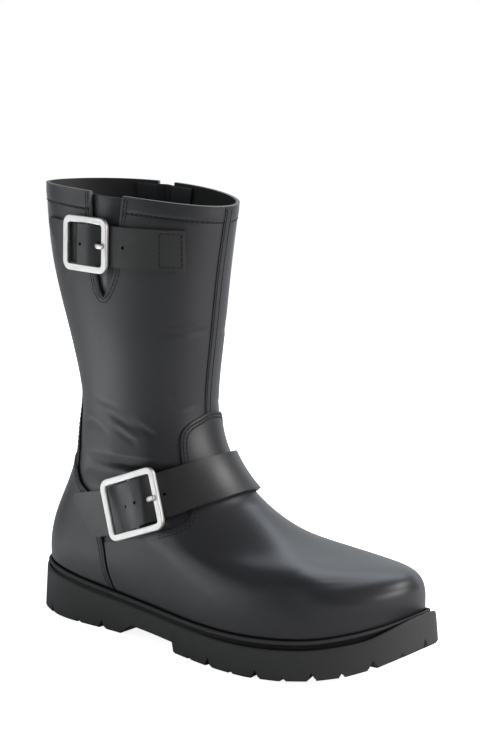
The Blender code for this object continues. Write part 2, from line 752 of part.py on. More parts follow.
def hole_cutter(strap, cutters):
    """The hole in a strap where its prong comes up."""
    middle, toe, up, out = strap.middle, strap.toe, strap.up, strap.out
    corners = []
    start, end = strap.sizes["hole"]
    for along, side in ((start, -1.0), (end, -1.0), (end, 1.0), (start, 1.0)):
        corners.append(middle + toe * along + up * side * HOLE_HALF)
    corners = np.array(corners)
    return prism(f"hole_{strap.name}", corners - out * 2.0, corners + out * 11.0, cutters)


def rounded_frame(sizes):
    """Middle line of a buckle's frame: along the strap and across it."""
    points = []
    half_long = sizes["long"] / 2.0 - BUCKLE_CORNER
    half_tall = sizes["tall"] / 2.0 - BUCKLE_CORNER
    radius = BUCKLE_CORNER - BUCKLE_BAR / 2.0
    for quarter, (sign_long, sign_tall) in enumerate(((1, 1), (-1, 1), (-1, -1), (1, -1))):
        for step in range(5):
            angle = math.pi / 2.0 * (quarter + step / 4.0)
            points.append((sign_long * half_long + radius * math.cos(angle),
                           sign_tall * half_tall + radius * math.sin(angle),
                           math.cos(angle), math.sin(angle)))
    return points


def build_buckle(strap, parts, cutters, material):
    """A flat frame with rounded corners and a round bar across its middle."""
    middle, toe, up, out = strap.middle, strap.toe, strap.up, strap.out
    base = strap.buckle["lift"]
    half = BUCKLE_BAR / 2.0
    soft = 0.7
    profile = ((-half, soft), (-half + soft, 0.0), (half - soft, 0.0), (half, soft),
               (half, BUCKLE_THICK - soft), (half - soft, BUCKLE_THICK),
               (-half + soft, BUCKLE_THICK), (-half, BUCKLE_THICK - soft))
    path = rounded_frame(strap.buckle)
    points = []
    for along, across, out_long, out_tall in path:
        for sideways, height in profile:
            points.append(middle + toe * (along + out_long * sideways)
                          + up * (across + out_tall * sideways) + out * (base + height))
    count = len(profile)
    faces = []
    for place in range(len(path)):
        ahead = (place + 1) % len(path)
        for corner in range(count):
            beside = (corner + 1) % count
            faces.append((place * count + corner, place * count + beside,
                          ahead * count + beside, ahead * count + corner))
    buckle = new_object(f"buckle_{strap.name}", np.array(points), faces, parts, material)
    reach = strap.buckle["tall"] / 2.0 - BUCKLE_BAR / 2.0
    ends = []
    for across in (-reach, reach):
        circle = [middle + up * across
                  + toe * CENTRE_BAR_RADIUS * math.cos(angle)
                  + out * (base + CENTRE_BAR_RADIUS * (1.0 + math.sin(angle)))
                  for angle in np.linspace(0.0, 2.0 * math.pi, 8, endpoint=False)]
        ends.append(np.array(circle))
    bar = prism(f"centre_bar_{strap.name}", ends[0], ends[1], cutters)
    union = buckle.modifiers.new("Centre bar", "BOOLEAN")
    union.operation = "UNION"
    union.solver = "EXACT"
    union.object = bar
    return buckle


def build_prong(strap, parts, material):
    """The prong: from the centre bar up through the strap's hole and onto the front bar."""
    middle, toe, up, out = strap.middle, strap.toe, strap.up, strap.out
    base = strap.buckle["lift"]
    spots = np.array(strap.buckle["prong"])
    slopes = np.gradient(spots, axis=0)
    slopes /= np.linalg.norm(slopes, axis=1, keepdims=True)
    sides = 8
    points = []
    for (along, height), (run, climb) in zip(spots, slopes):
        for angle in np.linspace(0.0, 2.0 * math.pi, sides, endpoint=False):
            sideways = PRONG_WIDE * math.cos(angle)
            rise = PRONG_THICK * math.sin(angle)
            points.append(middle + toe * (along - climb * rise) + up * sideways
                          + out * (base + height + run * rise))
    faces = []
    for place in range(len(spots) - 1):
        for corner in range(sides):
            beside = (corner + 1) % sides
            faces.append((place * sides + corner, place * sides + beside,
                          (place + 1) * sides + beside, (place + 1) * sides + corner))
    faces.append(tuple(range(sides)))
    faces.append(tuple(range((len(spots) - 1) * sides, len(spots) * sides)))
    return new_object(f"prong_{strap.name}", np.array(points), faces, parts, material)


def clear_scene():
    """Start from an empty scene."""
    for item in list(bpy.data.objects):
        bpy.data.objects.remove(item, do_unlink=True)


def main():
    """Build every piece of the boot."""
    clear_scene()
    parts = new_collection(PARTS_NAME)
    cutters = new_collection(CUTTERS_NAME)
    cutters.hide_render = True
    leather = new_material("leather", (0.035, 0.036, 0.037), 0.42)
    overlay = new_material("overlay_leather", (0.040, 0.041, 0.042), 0.40)
    strap_leather = new_material("strap_leather", (0.032, 0.033, 0.034), 0.45)
    lining = new_material("lining", (0.02, 0.02, 0.02), 0.8)
    rubber = new_material("rubber", (0.045, 0.043, 0.04), 0.75)
    nickel = new_material("nickel", (0.72, 0.72, 0.70), 0.3, 1.0)
    build_outsole(parts, cutters, rubber)
    build_welt(parts, rubber)
    build_insole(parts, lining)
    build_upper(parts, cutters, leather)
    build_vamp(parts, overlay)
    build_counter(parts, overlay)
    build_backstay(parts, overlay)
    build_front_seam(parts, overlay)
    build_gusset("gusset_outer", 1.0, parts, leather)
    build_gusset("gusset_inner", -1.0, parts, leather)
    for name in STRAPS:
        strap = Strap(name)
        build_strap(strap, parts, cutters, strap_leather)
        build_buckle(strap, parts, cutters, nickel)
        build_prong(strap, parts, nickel)


if __name__ == "__main__":
    main()
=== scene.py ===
"""Looks of the buckle boot: leather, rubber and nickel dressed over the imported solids.

The toe points to +X, the outer side with the buckles is -Y, and the boot stands on z = 0.
Tables and sizes are in millimetres, measured from the back of the sole and from the floor.
A place on the upper is a level (one step per row of RINGS, 0 at the sole) and a turn
(0 at the toe and shin, a quarter turn on the outer side, half a turn at the heel).
"""
import math

import bmesh
import bpy
import numpy as np
from bpy.props import FloatProperty, FloatVectorProperty, PointerProperty
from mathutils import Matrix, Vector


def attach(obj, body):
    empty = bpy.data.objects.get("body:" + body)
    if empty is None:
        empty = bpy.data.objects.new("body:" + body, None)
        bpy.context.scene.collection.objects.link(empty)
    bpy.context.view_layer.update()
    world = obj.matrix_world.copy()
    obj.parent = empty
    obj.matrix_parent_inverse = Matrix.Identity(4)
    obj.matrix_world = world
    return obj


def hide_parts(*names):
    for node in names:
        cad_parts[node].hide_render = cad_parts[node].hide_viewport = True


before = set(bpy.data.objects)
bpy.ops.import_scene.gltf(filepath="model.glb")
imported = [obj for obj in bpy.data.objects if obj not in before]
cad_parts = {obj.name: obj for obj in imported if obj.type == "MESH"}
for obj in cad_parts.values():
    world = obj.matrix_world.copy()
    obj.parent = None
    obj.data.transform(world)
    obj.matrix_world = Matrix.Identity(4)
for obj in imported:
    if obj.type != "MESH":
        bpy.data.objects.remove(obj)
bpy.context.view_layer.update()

bl_info = {
    "name": "Buckle boot",
    "version": (1, 0, 0),
    "blender": (4, 5, 0),
    "location": "View3D > Sidebar > Boot",
    "description": "Dresses the solids of a buckle boot with leather, rubber, metal and stitching",
    "category": "Object",
}

MM = 0.001

# Sole sizes
SOLE_LENGTH = 290.0
SOLE_CHAMFER = 1.4
ARCH_START = 91.0
ARCH_TOP_START = 103.0
ARCH_TOP_END = 142.0
ARCH_END = 143.5
ARCH_RISE = 7.0

# Gap under the overlays, and the outer faces of the sheets above the upper
GAP = 0.5
WALL = 2.4
VAMP_LIFT = 1.6
COUNTER_LIFT = 2.0
STAY_LIFT = 1.5
SEAM_LIFT = 0.7
STRAP_THICK = 2.2
GUSSET_THICK = 1.2
UNDER_OVERLAY = 0.15

# Plan of the sole: share of the length from the heel, middle line, half width
PLAN = (
    (1.000, 7.0, 0.0),
    (0.955, 7.0, 31.0),
    (0.880, 5.0, 46.0),
    (0.780, 2.0, 53.0),
    (0.680, -1.0, 54.5),
    (0.560, -4.0, 48.5),
    (0.420, -4.0, 40.5),
    (0.280, -2.0, 38.5),
    (0.150, 0.0, 40.0),
    (0.045, 0.0, 27.5),
    (0.000, 0.0, 0.0),
)

# Side view of the sole: station, height of the top, height of the tread
SIDE = (
    (0.0, 28.5, 0.0),
    (35.0, 26.5, 0.0),
    (70.0, 22.3, 0.0),
    (105.0, 19.3, 0.0),
    (145.0, 18.0, 0.0),
    (185.0, 17.8, 0.0),
    (205.0, 18.1, 0.0),
    (225.0, 19.2, 1.0),
    (245.0, 21.8, 3.6),
    (262.0, 25.9, 7.4),
    (276.0, 31.0, 12.6),
    (290.0, 40.0, 20.5),
)

# Sections of the upper: back x, back z, front x, front z, outer half width, inner half width,
# roundness (0 is the plan of the sole, 1 an ellipse), share of the sole's side curve, rise at the sides
RINGS = (
    (7.5, 28.7, 280.0, 35.0, 47.5, 47.5, 0.00, 1.00, 0.0),
    (6.5, 39.0, 280.0, 45.0, 48.5, 48.5, 0.00, 1.00, 0.0),
    (7.5, 51.0, 274.5, 58.8, 48.0, 47.5, 0.05, 0.90, 0.0),
    (11.0, 64.0, 245.5, 61.0, 44.5, 43.5, 0.20, 0.60, 0.0),
    (17.0, 77.0, 207.0, 63.5, 41.0, 40.0, 0.40, 0.30, 0.0),
    (24.0, 92.0, 170.5, 79.0, 38.0, 37.0, 0.70, 0.10, 0.0),
    (29.5, 108.0, 143.0, 104.0, 36.5, 36.0, 0.90, 0.00, 0.0),
    (33.2, 127.0, 131.5, 130.5, 36.3, 36.3, 1.00, 0.00, 0.0),
    (34.0, 150.0, 131.0, 157.0, 37.8, 37.8, 1.00, 0.00, 0.0),
    (23.0, 190.0, 135.6, 193.0, 40.8, 40.8, 1.00, 0.00, 0.0),
    (9.5, 233.0, 140.8, 231.0, 42.5, 42.5, 1.00, 0.00, 0.5),
    (3.5, 278.5, 148.0, 269.0, 42.0, 42.0, 1.00, 0.00, 3.0),
)
COLLAR = len(RINGS) - 1.0

# Rows of the upper's mesh: up to this level, height of a row
UPPER_ROW_HEIGHTS = ((5.6, 2.6), (9.3, 1.5), (COLLAR, 1.7))
UPPER_COLUMNS = 240

# Back edge of the vamp: turn in degrees, level
VAMP_EDGE = (
    (0.0, 7.42),
    (12.5, 7.31),
    (22.0, 7.20),
    (29.5, 7.02),
    (33.5, 6.70),
    (36.0, 6.30),
    (42.0, 5.55),
    (53.0, 4.96),
    (67.0, 4.56),
    (78.0, 4.26),
    (97.0, 3.50),
    (118.3, 2.60),
)
# On the inner side the vamp's peak reaches further round by this many degrees
VAMP_INNER_EXTRA = 12.0

# Top edge of the counter: turn in degrees, level
COUNTER_EDGE = (
    (119.0, 4.70),
    (127.0, 4.86),
    (133.0, 5.06),
    (141.0, 5.55),
    (156.0, 5.80),
    (180.0, 5.86),
)
OVERLAY_LOW = 0.56

# Strip up the back seam: level, half width in degrees of turn
BACKSTAY = (
    (6.05, 41.0),
    (6.60, 38.0),
    (7.20, 32.0),
    (8.00, 22.0),
    (8.80, 16.0),
    (9.60, 14.0),
    (10.40, 13.0),
    (10.99, 12.5),
)
STAY_GAP = 0.02
SEAM_LEAN = 4.0
SEAM_LEAN_TOP = 2.0
FRONT_SEAM_HALF = 4.2
FRONT_SEAM_LEVELS = (7.36, 10.97)

# Edges of the side slit: level, back turn, front turn in degrees; below its tip the mesh spreads again
SLIT_TIP = 9.52
SLIT = (
    (0.00, 91.5, 72.0),
    (8.60, 91.5, 72.0),
    (9.20, 88.0, 82.0),
    (SLIT_TIP, 86.0, 85.0),
    (9.62, 88.6, 81.6),
    (9.85, 90.2, 77.0),
    (10.20, 91.2, 74.8),
    (11.20, 93.6, 72.0),
)
# The slit in the inner side is narrower and lies further back
SLIT_MIDDLE = 83.0
INNER_SLIT_MIDDLE = 101.0
INNER_SLIT_SHARE = 0.5
# Columns of the mesh about each slit: where the spreading starts, the slit's edges, where it ends
OUTER_SLIT_COLUMNS = (57.0, 72.0, 91.5, 108.0)
INNER_SLIT_COLUMNS = (81.0, 96.0, 106.5, 123.0)
GUSSET_LEVELS = (9.30, 10.96)
GUSSET_HALF = 18.0
GUSSET_BULGE = 2.2

# Straps: height at a station, rise and bow there, width, first and last turn, slant of the tail,
# the lift of the underside at some turns, and where the hump over the buckle's centre bar starts, is full
# and ends, along the strap from the middle of the buckle towards the heel
STRAP_STATION = 85.0
STRAPS = {
    "upper": {"height": 244.5, "rise": -0.029, "bow": 0.0, "width": 24.8, "front": 32.5, "tail": 124.0,
              "slant": 10.5, "lifts": ((0.0, GAP), (180.0, GAP)),
              "hump": (-14.0, -3.0, 3.5, 10.5)},
    "lower": {"height": 78.0, "rise": 0.342, "bow": 0.00087, "width": 29.4, "front": -112.0, "tail": 126.5,
              "slant": 7.7,
              "lifts": ((-112.0, 2.4), (-60.0, 2.8), (-35.0, 3.4), (35.0, 3.4), (60.0, 2.8), (80.0, 2.5),
                        (105.0, 2.5), (113.0, 2.7)),
              "hump": (-16.0, -8.5, -5.0, 17.5)},
}
STRAP_STEP = 1.1
TAIL_CORNER = 4.5
# Punched holes, along each strap from the middle of its buckle towards the heel; the last is the prong's
STRAP_HOLES = {"upper": (1.9, -27.0, -10.3), "lower": (4.2, -3.9, -20.5, -14.2)}
HOLE_RADIUS = 1.05
PRONG_HOLE_RADIUS = 2.0

# Buckles: turn, size along and across the strap, lift of the underside, and the prong's path as distance
# from the centre bar towards the toe and height above the underside
BUCKLES = {
    "upper": {"turn": 92.6, "long": 37.5, "tall": 34.2, "lift": 2.2,
              "prong": ((1.4, 0.6), (6.5, 0.7), (9.5, 1.8), (11.7, 3.3), (13.2, 3.75), (17.0, 3.75))},
    "lower": {"turn": 82.0, "long": 45.5, "tall": 39.2, "lift": 5.2,
              "prong": ((1.4, 0.5), (10.0, 0.4), (13.2, 1.5), (15.6, 3.3), (17.3, 3.75), (21.0, 3.75))},
}
BUCKLE_BAR = 4.3
BUCKLE_THICK = 2.7
BUCKLE_CORNER = 6.0
CENTRE_BAR_RADIUS = 0.6
OVER_BAR = 0.9
PRONG_WIDE = 1.7
PRONG_THICK = 0.9

# Welt bead: distance out from the upper, height above the sole
WELT_PROFILE = (
    (2.1, -1.0),
    (2.1, 3.0),
    (2.5, 4.4),
    (2.9, 5.0),
    (3.6, 5.3),
    (4.4, 5.0),
    (4.8, 4.2),
    (4.5, 3.3),
    (3.6, 2.7),
    (2.9, 1.8),
    (2.7, -1.0),
)
WELT_COLUMNS = 260
# First row of the profile that lies in the recess under the bead; from it on the welt is near-black rubber,
# painted shade
WELT_RECESS = 27

# Lip of the sole's wall from outside in, and the channel behind it: inset from the edge, height above the
# sole's top; the lip climbs towards the tip of the toe and the back of the heel, where the bead is lower
SOLE_LIP = (
    (1.4, -2.7),
    (1.5, -1.7),
    (1.85, -0.8),
    (2.4, -0.2),
    (3.0, 0.0),
    (3.4, -0.2),
    (3.6, -0.8),
)
SOLE_CHANNEL = ((3.7, -2.6), (7.5, -2.6))
# The first rows of faces, over the channel and up the lip's inner side, are near-black rubber: painted
# shade
CHANNEL_ROWS = 2
TOE_LIP_START = 270.0
TOE_LIP_RISE = 2.3
HEEL_LIP_END = 22.0
HEEL_LIP_RISE = 1.8
BEAD_END_DROP = 0.3

# Footbed from its lower edge to its middle: inset from the upper, height above the sole
INSOLE_PROFILE = ((3.3, 0.35), (3.3, 3.4), (3.8, 4.0), (8.0, 3.7), (14.0, 3.5))

# Lugs: notches cut in the lower edge, and grooves between the edge lugs and the middle blocks
NOTCH_STEP = 18.0
FOREFOOT_NOTCH_TURN = 85.0
HEEL_NOTCH_TURNS = (118.7, 128.5, 144.0, 165.0)
NOTCH_LARGE = {"wide": 6.0, "high": 5.4, "deep": 25.5}
NOTCH_SMALL = {"wide": 3.6, "high": 2.6, "deep": 12.5}
GROOVE_INSET = 17.0
GROOVE_WIDE = 4.0
GROOVE_DEEP = 4.0
GROOVE_SPANS = ((150.0, 224.0), (22.0, 78.0))
CROSS_GROOVES = (168.0, 188.0, 207.0, 40.0, 59.0)
TREAD_INSETS = (1.4, 4.0, 8.0, 12.4, 12.6, 16.8, 17.0, 21.0, 21.2, 25.4, 25.6, 28.0)

# Creases of the ankle and shaft: start, middle and end as (level, turn), depth, half width
CREASES = (
    ((5.72, 128.0), (5.80, 82.0), (5.92, 42.0), 4.4, 8.5),
    ((5.80, 100.0), (5.90, 66.0), (6.02, 34.0), 2.6, 6.5),
    ((6.06, 126.0), (6.23, 79.0), (6.17, 41.0), 0.9, 1.9),
    ((7.86, 109.0), (7.72, 94.0), (7.57, 79.0), 0.60, 2.3),
    ((7.54, 95.0), (7.24, 78.0), (6.94, 62.0), 1.00, 2.7),
    ((7.38, 77.0), (7.12, 63.5), (6.83, 50.0), 0.80, 2.5),
    ((7.07, 87.5), (6.88, 77.5), (6.67, 67.5), 0.65, 2.2),
    ((6.82, 137.0), (7.19, 114.5), (6.88, 94.0), 0.65, 1.9),
    ((6.89, 124.0), (7.06, 113.5), (6.89, 101.0), 0.50, 1.7),
    ((8.15, 46.5), (8.13, 39.0), (8.10, 32.0), 0.32, 1.7),
    ((8.07, 46.5), (8.05, 39.0), (8.02, 32.0), 0.32, 1.7),
    ((7.92, 42.0), (7.88, 37.5), (7.84, 33.0), 0.28, 1.6),
    ((7.79, 39.5), (7.59, 30.5), (7.69, 10.0), 0.45, 2.3),
    ((9.13, 47.0), (9.11, 32.0), (9.08, 18.0), 0.38, 2.1),
    ((9.01, 48.0), (8.99, 33.0), (9.00, 5.0), 0.45, 2.5),
)
CREASE_BANKS = 0.9
INNER_SHARE = 0.85
INNER_LEVEL_SHIFT = -0.06

# Soft ridges of the instep and the toe: start, middle and end as level and turn, height,
# half width, depth of the hollows beside them
RIDGES = (
    ((5.30, 4.0), (4.00, 22.0), (2.30, 40.0), 3.0, 15.0, 0.0),
    ((2.75, 41.0), (1.85, 32.5), (1.60, -8.0), 2.3, 10.0, 0.9),
)

# Soft swellings and hollows of the leather: level, turn, radius, height
SWELLINGS = (
    (6.47, 92.0, 12.0, 1.2),
    (6.54, 60.0, 11.0, 1.0),
    (8.25, 58.0, 24.0, -1.0),
    (9.25, 54.0, 20.0, -0.7),
)

# Stitched groove below the collar: turn, level
COLLAR_ROW = ((0.0, 10.74), (66.0, 10.77), (94.0, 10.75), (124.0, 10.76), (180.0, 10.78))
# Groove below the collar and the soft band above it, in heights and widths
COLLAR_GROOVE = 0.35
COLLAR_GROOVE_HALF = 0.9
COLLAR_BAND = 0.2
COLLAR_BAND_TOP = 9.0
STITCH_INSETS = (1.7, 3.7)
THREAD_LIFT = 0.05
# Share of its radius by which the needle groove lies below the thread; the groove is a near-black tube
# along each row, painted shade
GROOVE_SINK = 0.85
# The vamp's outer rows stop just below the lower buckle, at this turn in degrees
VAMP_ROW_END = 80.0
# Stitched box at the front end of the upper strap: inset from the edges, turn of its far side
STITCH_BOX_INSET = 2.2
STITCH_BOX_END = 48.0

# Surfaces with the shared grain: colour setting, least and most roughness, bump, pores per metre,
# how much lighter the lighter tone is, and whether the folds set the tone: ridges worn lighter, troughs
# darker as painted shade
SURFACES = {
    "leather": ("leather", (0.36, 0.44), 0.10, 1000.0, 1.5, True),
    "strap_leather": ("strap", (0.40, 0.48), 0.12, 1100.0, 1.4, False),
    "lining": ("lining", (0.75, 0.85), 0.25, 700.0, 1.4, False),
    # Cut edge: its own lighter tone and a painted highlight along the upward rim
    "cut_edge": ("edge", (0.5, 0.6), 0.3, 900.0, 1.5, False),
    "rubber": ("rubber", (0.58, 0.68), 0.20, 1300.0, 1.3, False),
    # Painted shade for the channel and the recess under the bead
    "channel_rubber": ("channel", (0.75, 0.85), 0.1, 1300.0, 1.3, False),
    "thread": ("thread", (0.55, 0.65), 0.3, 2500.0, 1.6, False),
    # Near-black tube along each stitch row: painted shade of the needle groove
    "needle_groove": ("groove", (0.75, 0.85), 0.1, 900.0, 1.2, False),
}

# Soft boxes in metres: name, place, point aimed at, width, height, power, spread in degrees, colour
SOFT_BOXES = (
    ("sweep_box", (-0.72, 1.15, 0.30), (0.0, 0.0, 0.20), 2.6, 0.6, 4.7, 180.0, (0.92, 0.96, 1.0)),
    ("back_box", (-0.48, 1.03, 1.08), (0.06, 0.0, 0.08), 1.0, 0.55, 6.0, 180.0, (0.86, 0.93, 1.0)),
    ("far_box", (0.79, 0.62, 1.09), (0.02, 0.0, 0.12), 0.65, 0.5, 9.2, 180.0, (1.0, 1.0, 1.0)),
    ("right_box", (1.02, 0.10, 0.42), (0.0, 0.0, 0.15), 0.8, 0.4, 6.4, 180.0, (1.0, 0.99, 0.97)),
    ("left_box", (-0.92, -0.86, 0.36), (0.0, 0.0, 0.16), 1.5, 0.70, 3.8, 180.0, (0.94, 0.98, 1.0)),
    ("floor_box", (-0.42, -0.42, 0.75), (-0.42, -0.42, 0.0), 0.4, 0.4, 3.0, 45.0, (0.94, 0.98, 1.0)),
)


def spline(knots, values, places):
    """Smooth curve through the rows of a table, bending least between them."""
    knots = np.asarray(knots, float)
    values = np.asarray(values, float)
    flat = values.reshape(len(knots), -1)
    steps = np.diff(knots)
    count = len(knots)
    system = np.eye(count)
    pull = np.zeros_like(flat)
    for row in range(1, count - 1):
        system[row, row - 1] = steps[row - 1]
        system[row, row] = 2.0 * (steps[row - 1] + steps[row])
        system[row, row + 1] = steps[row]
        after = (flat[row + 1] - flat[row]) / steps[row]
        before = (flat[row] - flat[row - 1]) / steps[row - 1]
        pull[row] = 6.0 * (after - before)
    bend = np.linalg.solve(system, pull)
    places = np.asarray(places, float)
    at = np.clip(np.searchsorted(knots, places, side="right") - 1, 0, count - 2)
    step = steps[at][..., None]
    ahead = ((places - knots[at]) / steps[at])[..., None]
    behind = 1.0 - ahead
    curve = ((behind ** 3 - behind) * bend[at] + (ahead ** 3 - ahead) * bend[at + 1]) * step ** 2 / 6.0
    result = behind * flat[at] + ahead * flat[at + 1] + curve
    return result.reshape(places.shape + values.shape[1:])


def column(table, index):
    """One column of a table as an array."""
    return np.array([row[index] for row in table], float)


def lookup(table, places, index=1):
    """Straight lines between the rows of a table."""
    return np.interp(places, column(table, 0), column(table, index))


def smooth(share):
    """Ease from 0 to 1."""
    share = np.clip(share, 0.0, 1.0)
    return share * share * (3.0 - 2.0 * share)


def run_along(points):
    """Distance along a line of points, from its start."""
    return np.concatenate([[0.0], np.cumsum(np.linalg.norm(np.diff(points, axis=0), axis=1))])


PLAN_TURNS = np.arccos(2.0 * column(PLAN, 0) - 1.0)
PLAN_VALUES = np.array([row[1:] for row in PLAN])
BALL_HALF = PLAN_VALUES[:, 1].max()


def plan(turn):
    """Middle line, half width, side and folded turn of the sole's plan."""
    turn = np.mod(np.asarray(turn, float), 2.0 * np.pi)
    folded = np.where(turn <= np.pi, turn, 2.0 * np.pi - turn)
    side = np.where(turn <= np.pi, -1.0, 1.0)
    values = spline(PLAN_TURNS, PLAN_VALUES, folded)
    return values[..., 0], values[..., 1], side, folded


def outward_shift(curve, turn, distance):
    """Points of a plan curve moved outwards, square to the curve."""
    turn = np.asarray(turn, float)
    along = curve(turn + 0.002) - curve(turn - 0.002)
    along /= np.linalg.norm(along, axis=-1, keepdims=True)
    outward = np.stack([-along[..., 1], along[..., 0]], -1)
    return curve(turn) + outward * distance


def sole_outline(turn):
    """Plan position of the sole's edge."""
    middle, half, side, _ = plan(turn)
    return np.stack([SOLE_LENGTH * (1.0 + np.cos(turn)) / 2.0, middle + side * half], -1)


def sole_edge(turn, inset=0.0):
    """Plan position of the sole's edge, moved inwards by the inset."""
    return outward_shift(sole_outline, turn, -inset)


def sole_top(x):
    """Height of the sole's top at a station."""
    return spline(column(SIDE, 0), column(SIDE, 1), np.clip(x, 0.0, SOLE_LENGTH))


def tread(x):
    """Height of the tread at a station, with the arch between heel and forefoot."""
    low = lookup(SIDE, x, 2)
    arch_x = (ARCH_START, ARCH_TOP_START, ARCH_TOP_END, ARCH_END)
    return low + np.interp(x, arch_x, (0.0, ARCH_RISE, ARCH_RISE - 0.8, 0.0))


def ring(row, turn):
    """One section of the upper."""
    back_x, back_z, front_x, front_z, outer, inner, rounded, bed, crown = row
    middle, half, side, folded = plan(turn)
    share = (1.0 + np.cos(turn)) / 2.0
    x = back_x + (front_x - back_x) * share
    shape = half / BALL_HALF * (1.0 - rounded) + np.sin(folded) * rounded
    y = middle * (1.0 - rounded) + side * np.where(side < 0.0, outer, inner) * shape
    chord = sole_top(back_x) + (sole_top(front_x) - sole_top(back_x)) * share
    z = back_z + (front_z - back_z) * share + bed * (sole_top(x) - chord) + crown * np.sin(turn) ** 2
    return np.stack([x, y, z], -1)


def foot_outline(turn):
    """Plan of the upper's lower edge."""
    return ring(RINGS[0], turn)[..., :2]


def bare_upper(level, turn):
    """Points of the upper's outer face, through the sections."""
    shape = level.shape
    level = level.ravel()
    turn = turn.ravel()
    sections = np.stack([ring(row, turn) for row in RINGS])
    count = len(RINGS)
    system = np.eye(count)
    for row in range(1, count - 1):
        system[row, row - 1:row + 2] = (1.0, 4.0, 1.0)
    pull = np.zeros_like(sections)
    pull[1:-1] = 6.0 * (sections[2:] - 2.0 * sections[1:-1] + sections[:-2])
    bend = np.linalg.solve(system, pull.reshape(count, -1)).reshape(sections.shape)
    low = np.clip(np.floor(level).astype(int), 0, count - 2)
    ahead = (level - low)[:, None]
    behind = 1.0 - ahead
    at = np.arange(len(level))
    points = behind * sections[low, at] + ahead * sections[low + 1, at]
    points += ((behind ** 3 - behind) * bend[low, at] + (ahead ** 3 - ahead) * bend[low + 1, at]) / 6.0
    return points.reshape(shape + (3,))


def upper_slopes(level, turn):
    """Change of place per level and per radian of turn, and the outward direction."""
    step = 0.004
    up = (bare_upper(level + step, turn) - bare_upper(level - step, turn)) / (2.0 * step)
    around = (bare_upper(level, turn + step) - bare_upper(level, turn - step)) / (2.0 * step)
    normal = np.cross(up, around)
    return up, around, normal / np.linalg.norm(normal, axis=-1, keepdims=True)


def crease_line(crease):
    """Points along one crease on the bare upper."""
    curve = spline((0.0, 0.5, 1.0), np.array(crease[:3]), np.linspace(0.0, 1.0, 25))
    return bare_upper(curve[:, 0], np.radians(curve[:, 1]))


def all_creases():
    """The creases of the outer side, softer ones like them on the inner side, and the ridges."""
    rows = [(*ridge[:3], -ridge[3], *ridge[4:]) for ridge in RIDGES]
    for start, middle, end, depth, half in CREASES:
        rows.append((start, middle, end, depth, half, CREASE_BANKS))
        spots = [(level + INNER_LEVEL_SHIFT, -turn) for level, turn in (start, middle, end)]
        rows.append((*spots, depth * INNER_SHARE, half, CREASE_BANKS))
    return rows


def line_distance(points, line):
    """Distance of points from a line through given points, and the share of the way along it."""
    first = line[:-1]
    step = np.diff(line, axis=0)
    ahead = points[:, None, :] - first[None]
    share = np.clip(np.sum(ahead * step, -1) / np.sum(step * step, -1), 0.0, 1.0)
    gap = np.linalg.norm(ahead - share[..., None] * step, axis=-1)
    near = gap.argmin(1)
    rows = np.arange(len(points))
    return gap[rows, near], (near + share[rows, near]) / len(first)


def folds(points):
    """Height of the creases and swellings at points of the bare upper."""
    flat = points.reshape(-1, 3)
    height = np.zeros(len(flat))
    for crease in all_creases():
        line = crease_line(crease)
        depth, half, banks = crease[3:]
        low = line.min(0) - 3.0 * half
        high = line.max(0) + 3.0 * half
        close = np.flatnonzero(np.all((flat > low) & (flat < high), axis=1))
        if not len(close):
            continue
        gap, along = line_distance(flat[close], line)
        far = (gap / half) ** 2
        fade = np.sin(np.pi * np.clip(along, 0.0, 1.0)) ** 0.7
        height[close] -= depth * (1.0 - banks * far) * np.exp(-far) * fade
    for level, turn, radius, rise in SWELLINGS:
        for side in (1.0, -1.0):
            middle = bare_upper(np.array([level]), np.array([side * math.radians(turn)]))[0]
            far = np.sum((flat - middle) ** 2, axis=1) / radius ** 2
            height += rise * np.exp(-far)
    return height.reshape(points.shape[:-1])


def upper_point(level, turn, lift=0.0):
    """Points on the creased upper, lifted off its outer face."""
    level, turn, lift = np.broadcast_arrays(np.asarray(level, float), np.asarray(turn, float),
                                            np.asarray(lift, float))
    bare = bare_upper(level, turn)
    normal = upper_slopes(level, turn)[2]
    return bare + normal * (lift + folds(bare))[..., None]


def shifted(level, turn, inset):
    """Levels and turns of a line on the upper moved sideways, to the left of its direction."""
    up, around, normal = upper_slopes(level, turn)
    along = np.gradient(bare_upper(level, turn), axis=0)
    along /= np.linalg.norm(along, axis=-1, keepdims=True)
    move = np.cross(normal, along) * inset
    moved_level = np.empty_like(level)
    moved_turn = np.empty_like(turn)
    for place in range(len(level)):
        slopes = np.stack([up[place], around[place]], -1)
        change = np.linalg.lstsq(slopes, move[place], rcond=None)[0]
        moved_level[place] = level[place] + change[0]
        moved_turn[place] = turn[place] + change[1]
    return moved_level, moved_turn


EDGE_Y = sole_outline(np.linspace(0.0, 2.0 * np.pi, 721))[:, 1]
MIDDLE = np.array([SOLE_LENGTH / 2.0, (EDGE_Y.min() + EDGE_Y.max()) / 2.0, 0.0])


def to_world(points):
    """Millimetres from the back of the sole to metres about the middle of the boot."""
    return (np.asarray(points, float).reshape(-1, 3) - MIDDLE) * MM


def new_mesh(name, points, faces, materials=()):
    """A smooth mesh object from points in millimetres."""
    mesh = bpy.data.meshes.new(name)
    mesh.from_pydata([tuple(point) for point in to_world(points)], [], faces)
    mesh.polygons.foreach_set("use_smooth", [True] * len(mesh.polygons))
    for material in materials:
        mesh.materials.append(material)
    piece = bpy.data.objects.new(name, mesh)
    bpy.context.scene.collection.objects.link(piece)
    return piece


def grid_faces(rows, columns, closed=False, skip=None):
    """Faces of a grid of points; a closed grid joins its last column to its first."""
    faces = []
    spans = columns if closed else columns - 1
    for row in range(rows - 1):
        for place in range(spans):
            if skip is not None and skip[row, place]:
                continue
            ahead = (place + 1) % columns
            faces.append((row * columns + place, (row + 1) * columns + place,
                          (row + 1) * columns + ahead, row * columns + ahead))
    return faces


def loop_faces(rings, sides):
    """Faces of a tube that closes on itself both ways."""
    faces = []
    for place in range(rings):
        ahead = (place + 1) % rings
        for corner in range(sides):
            beside = (corner + 1) % sides
            faces.append((place * sides + corner, place * sides + beside,
                          ahead * sides + beside, ahead * sides + corner))
    return faces


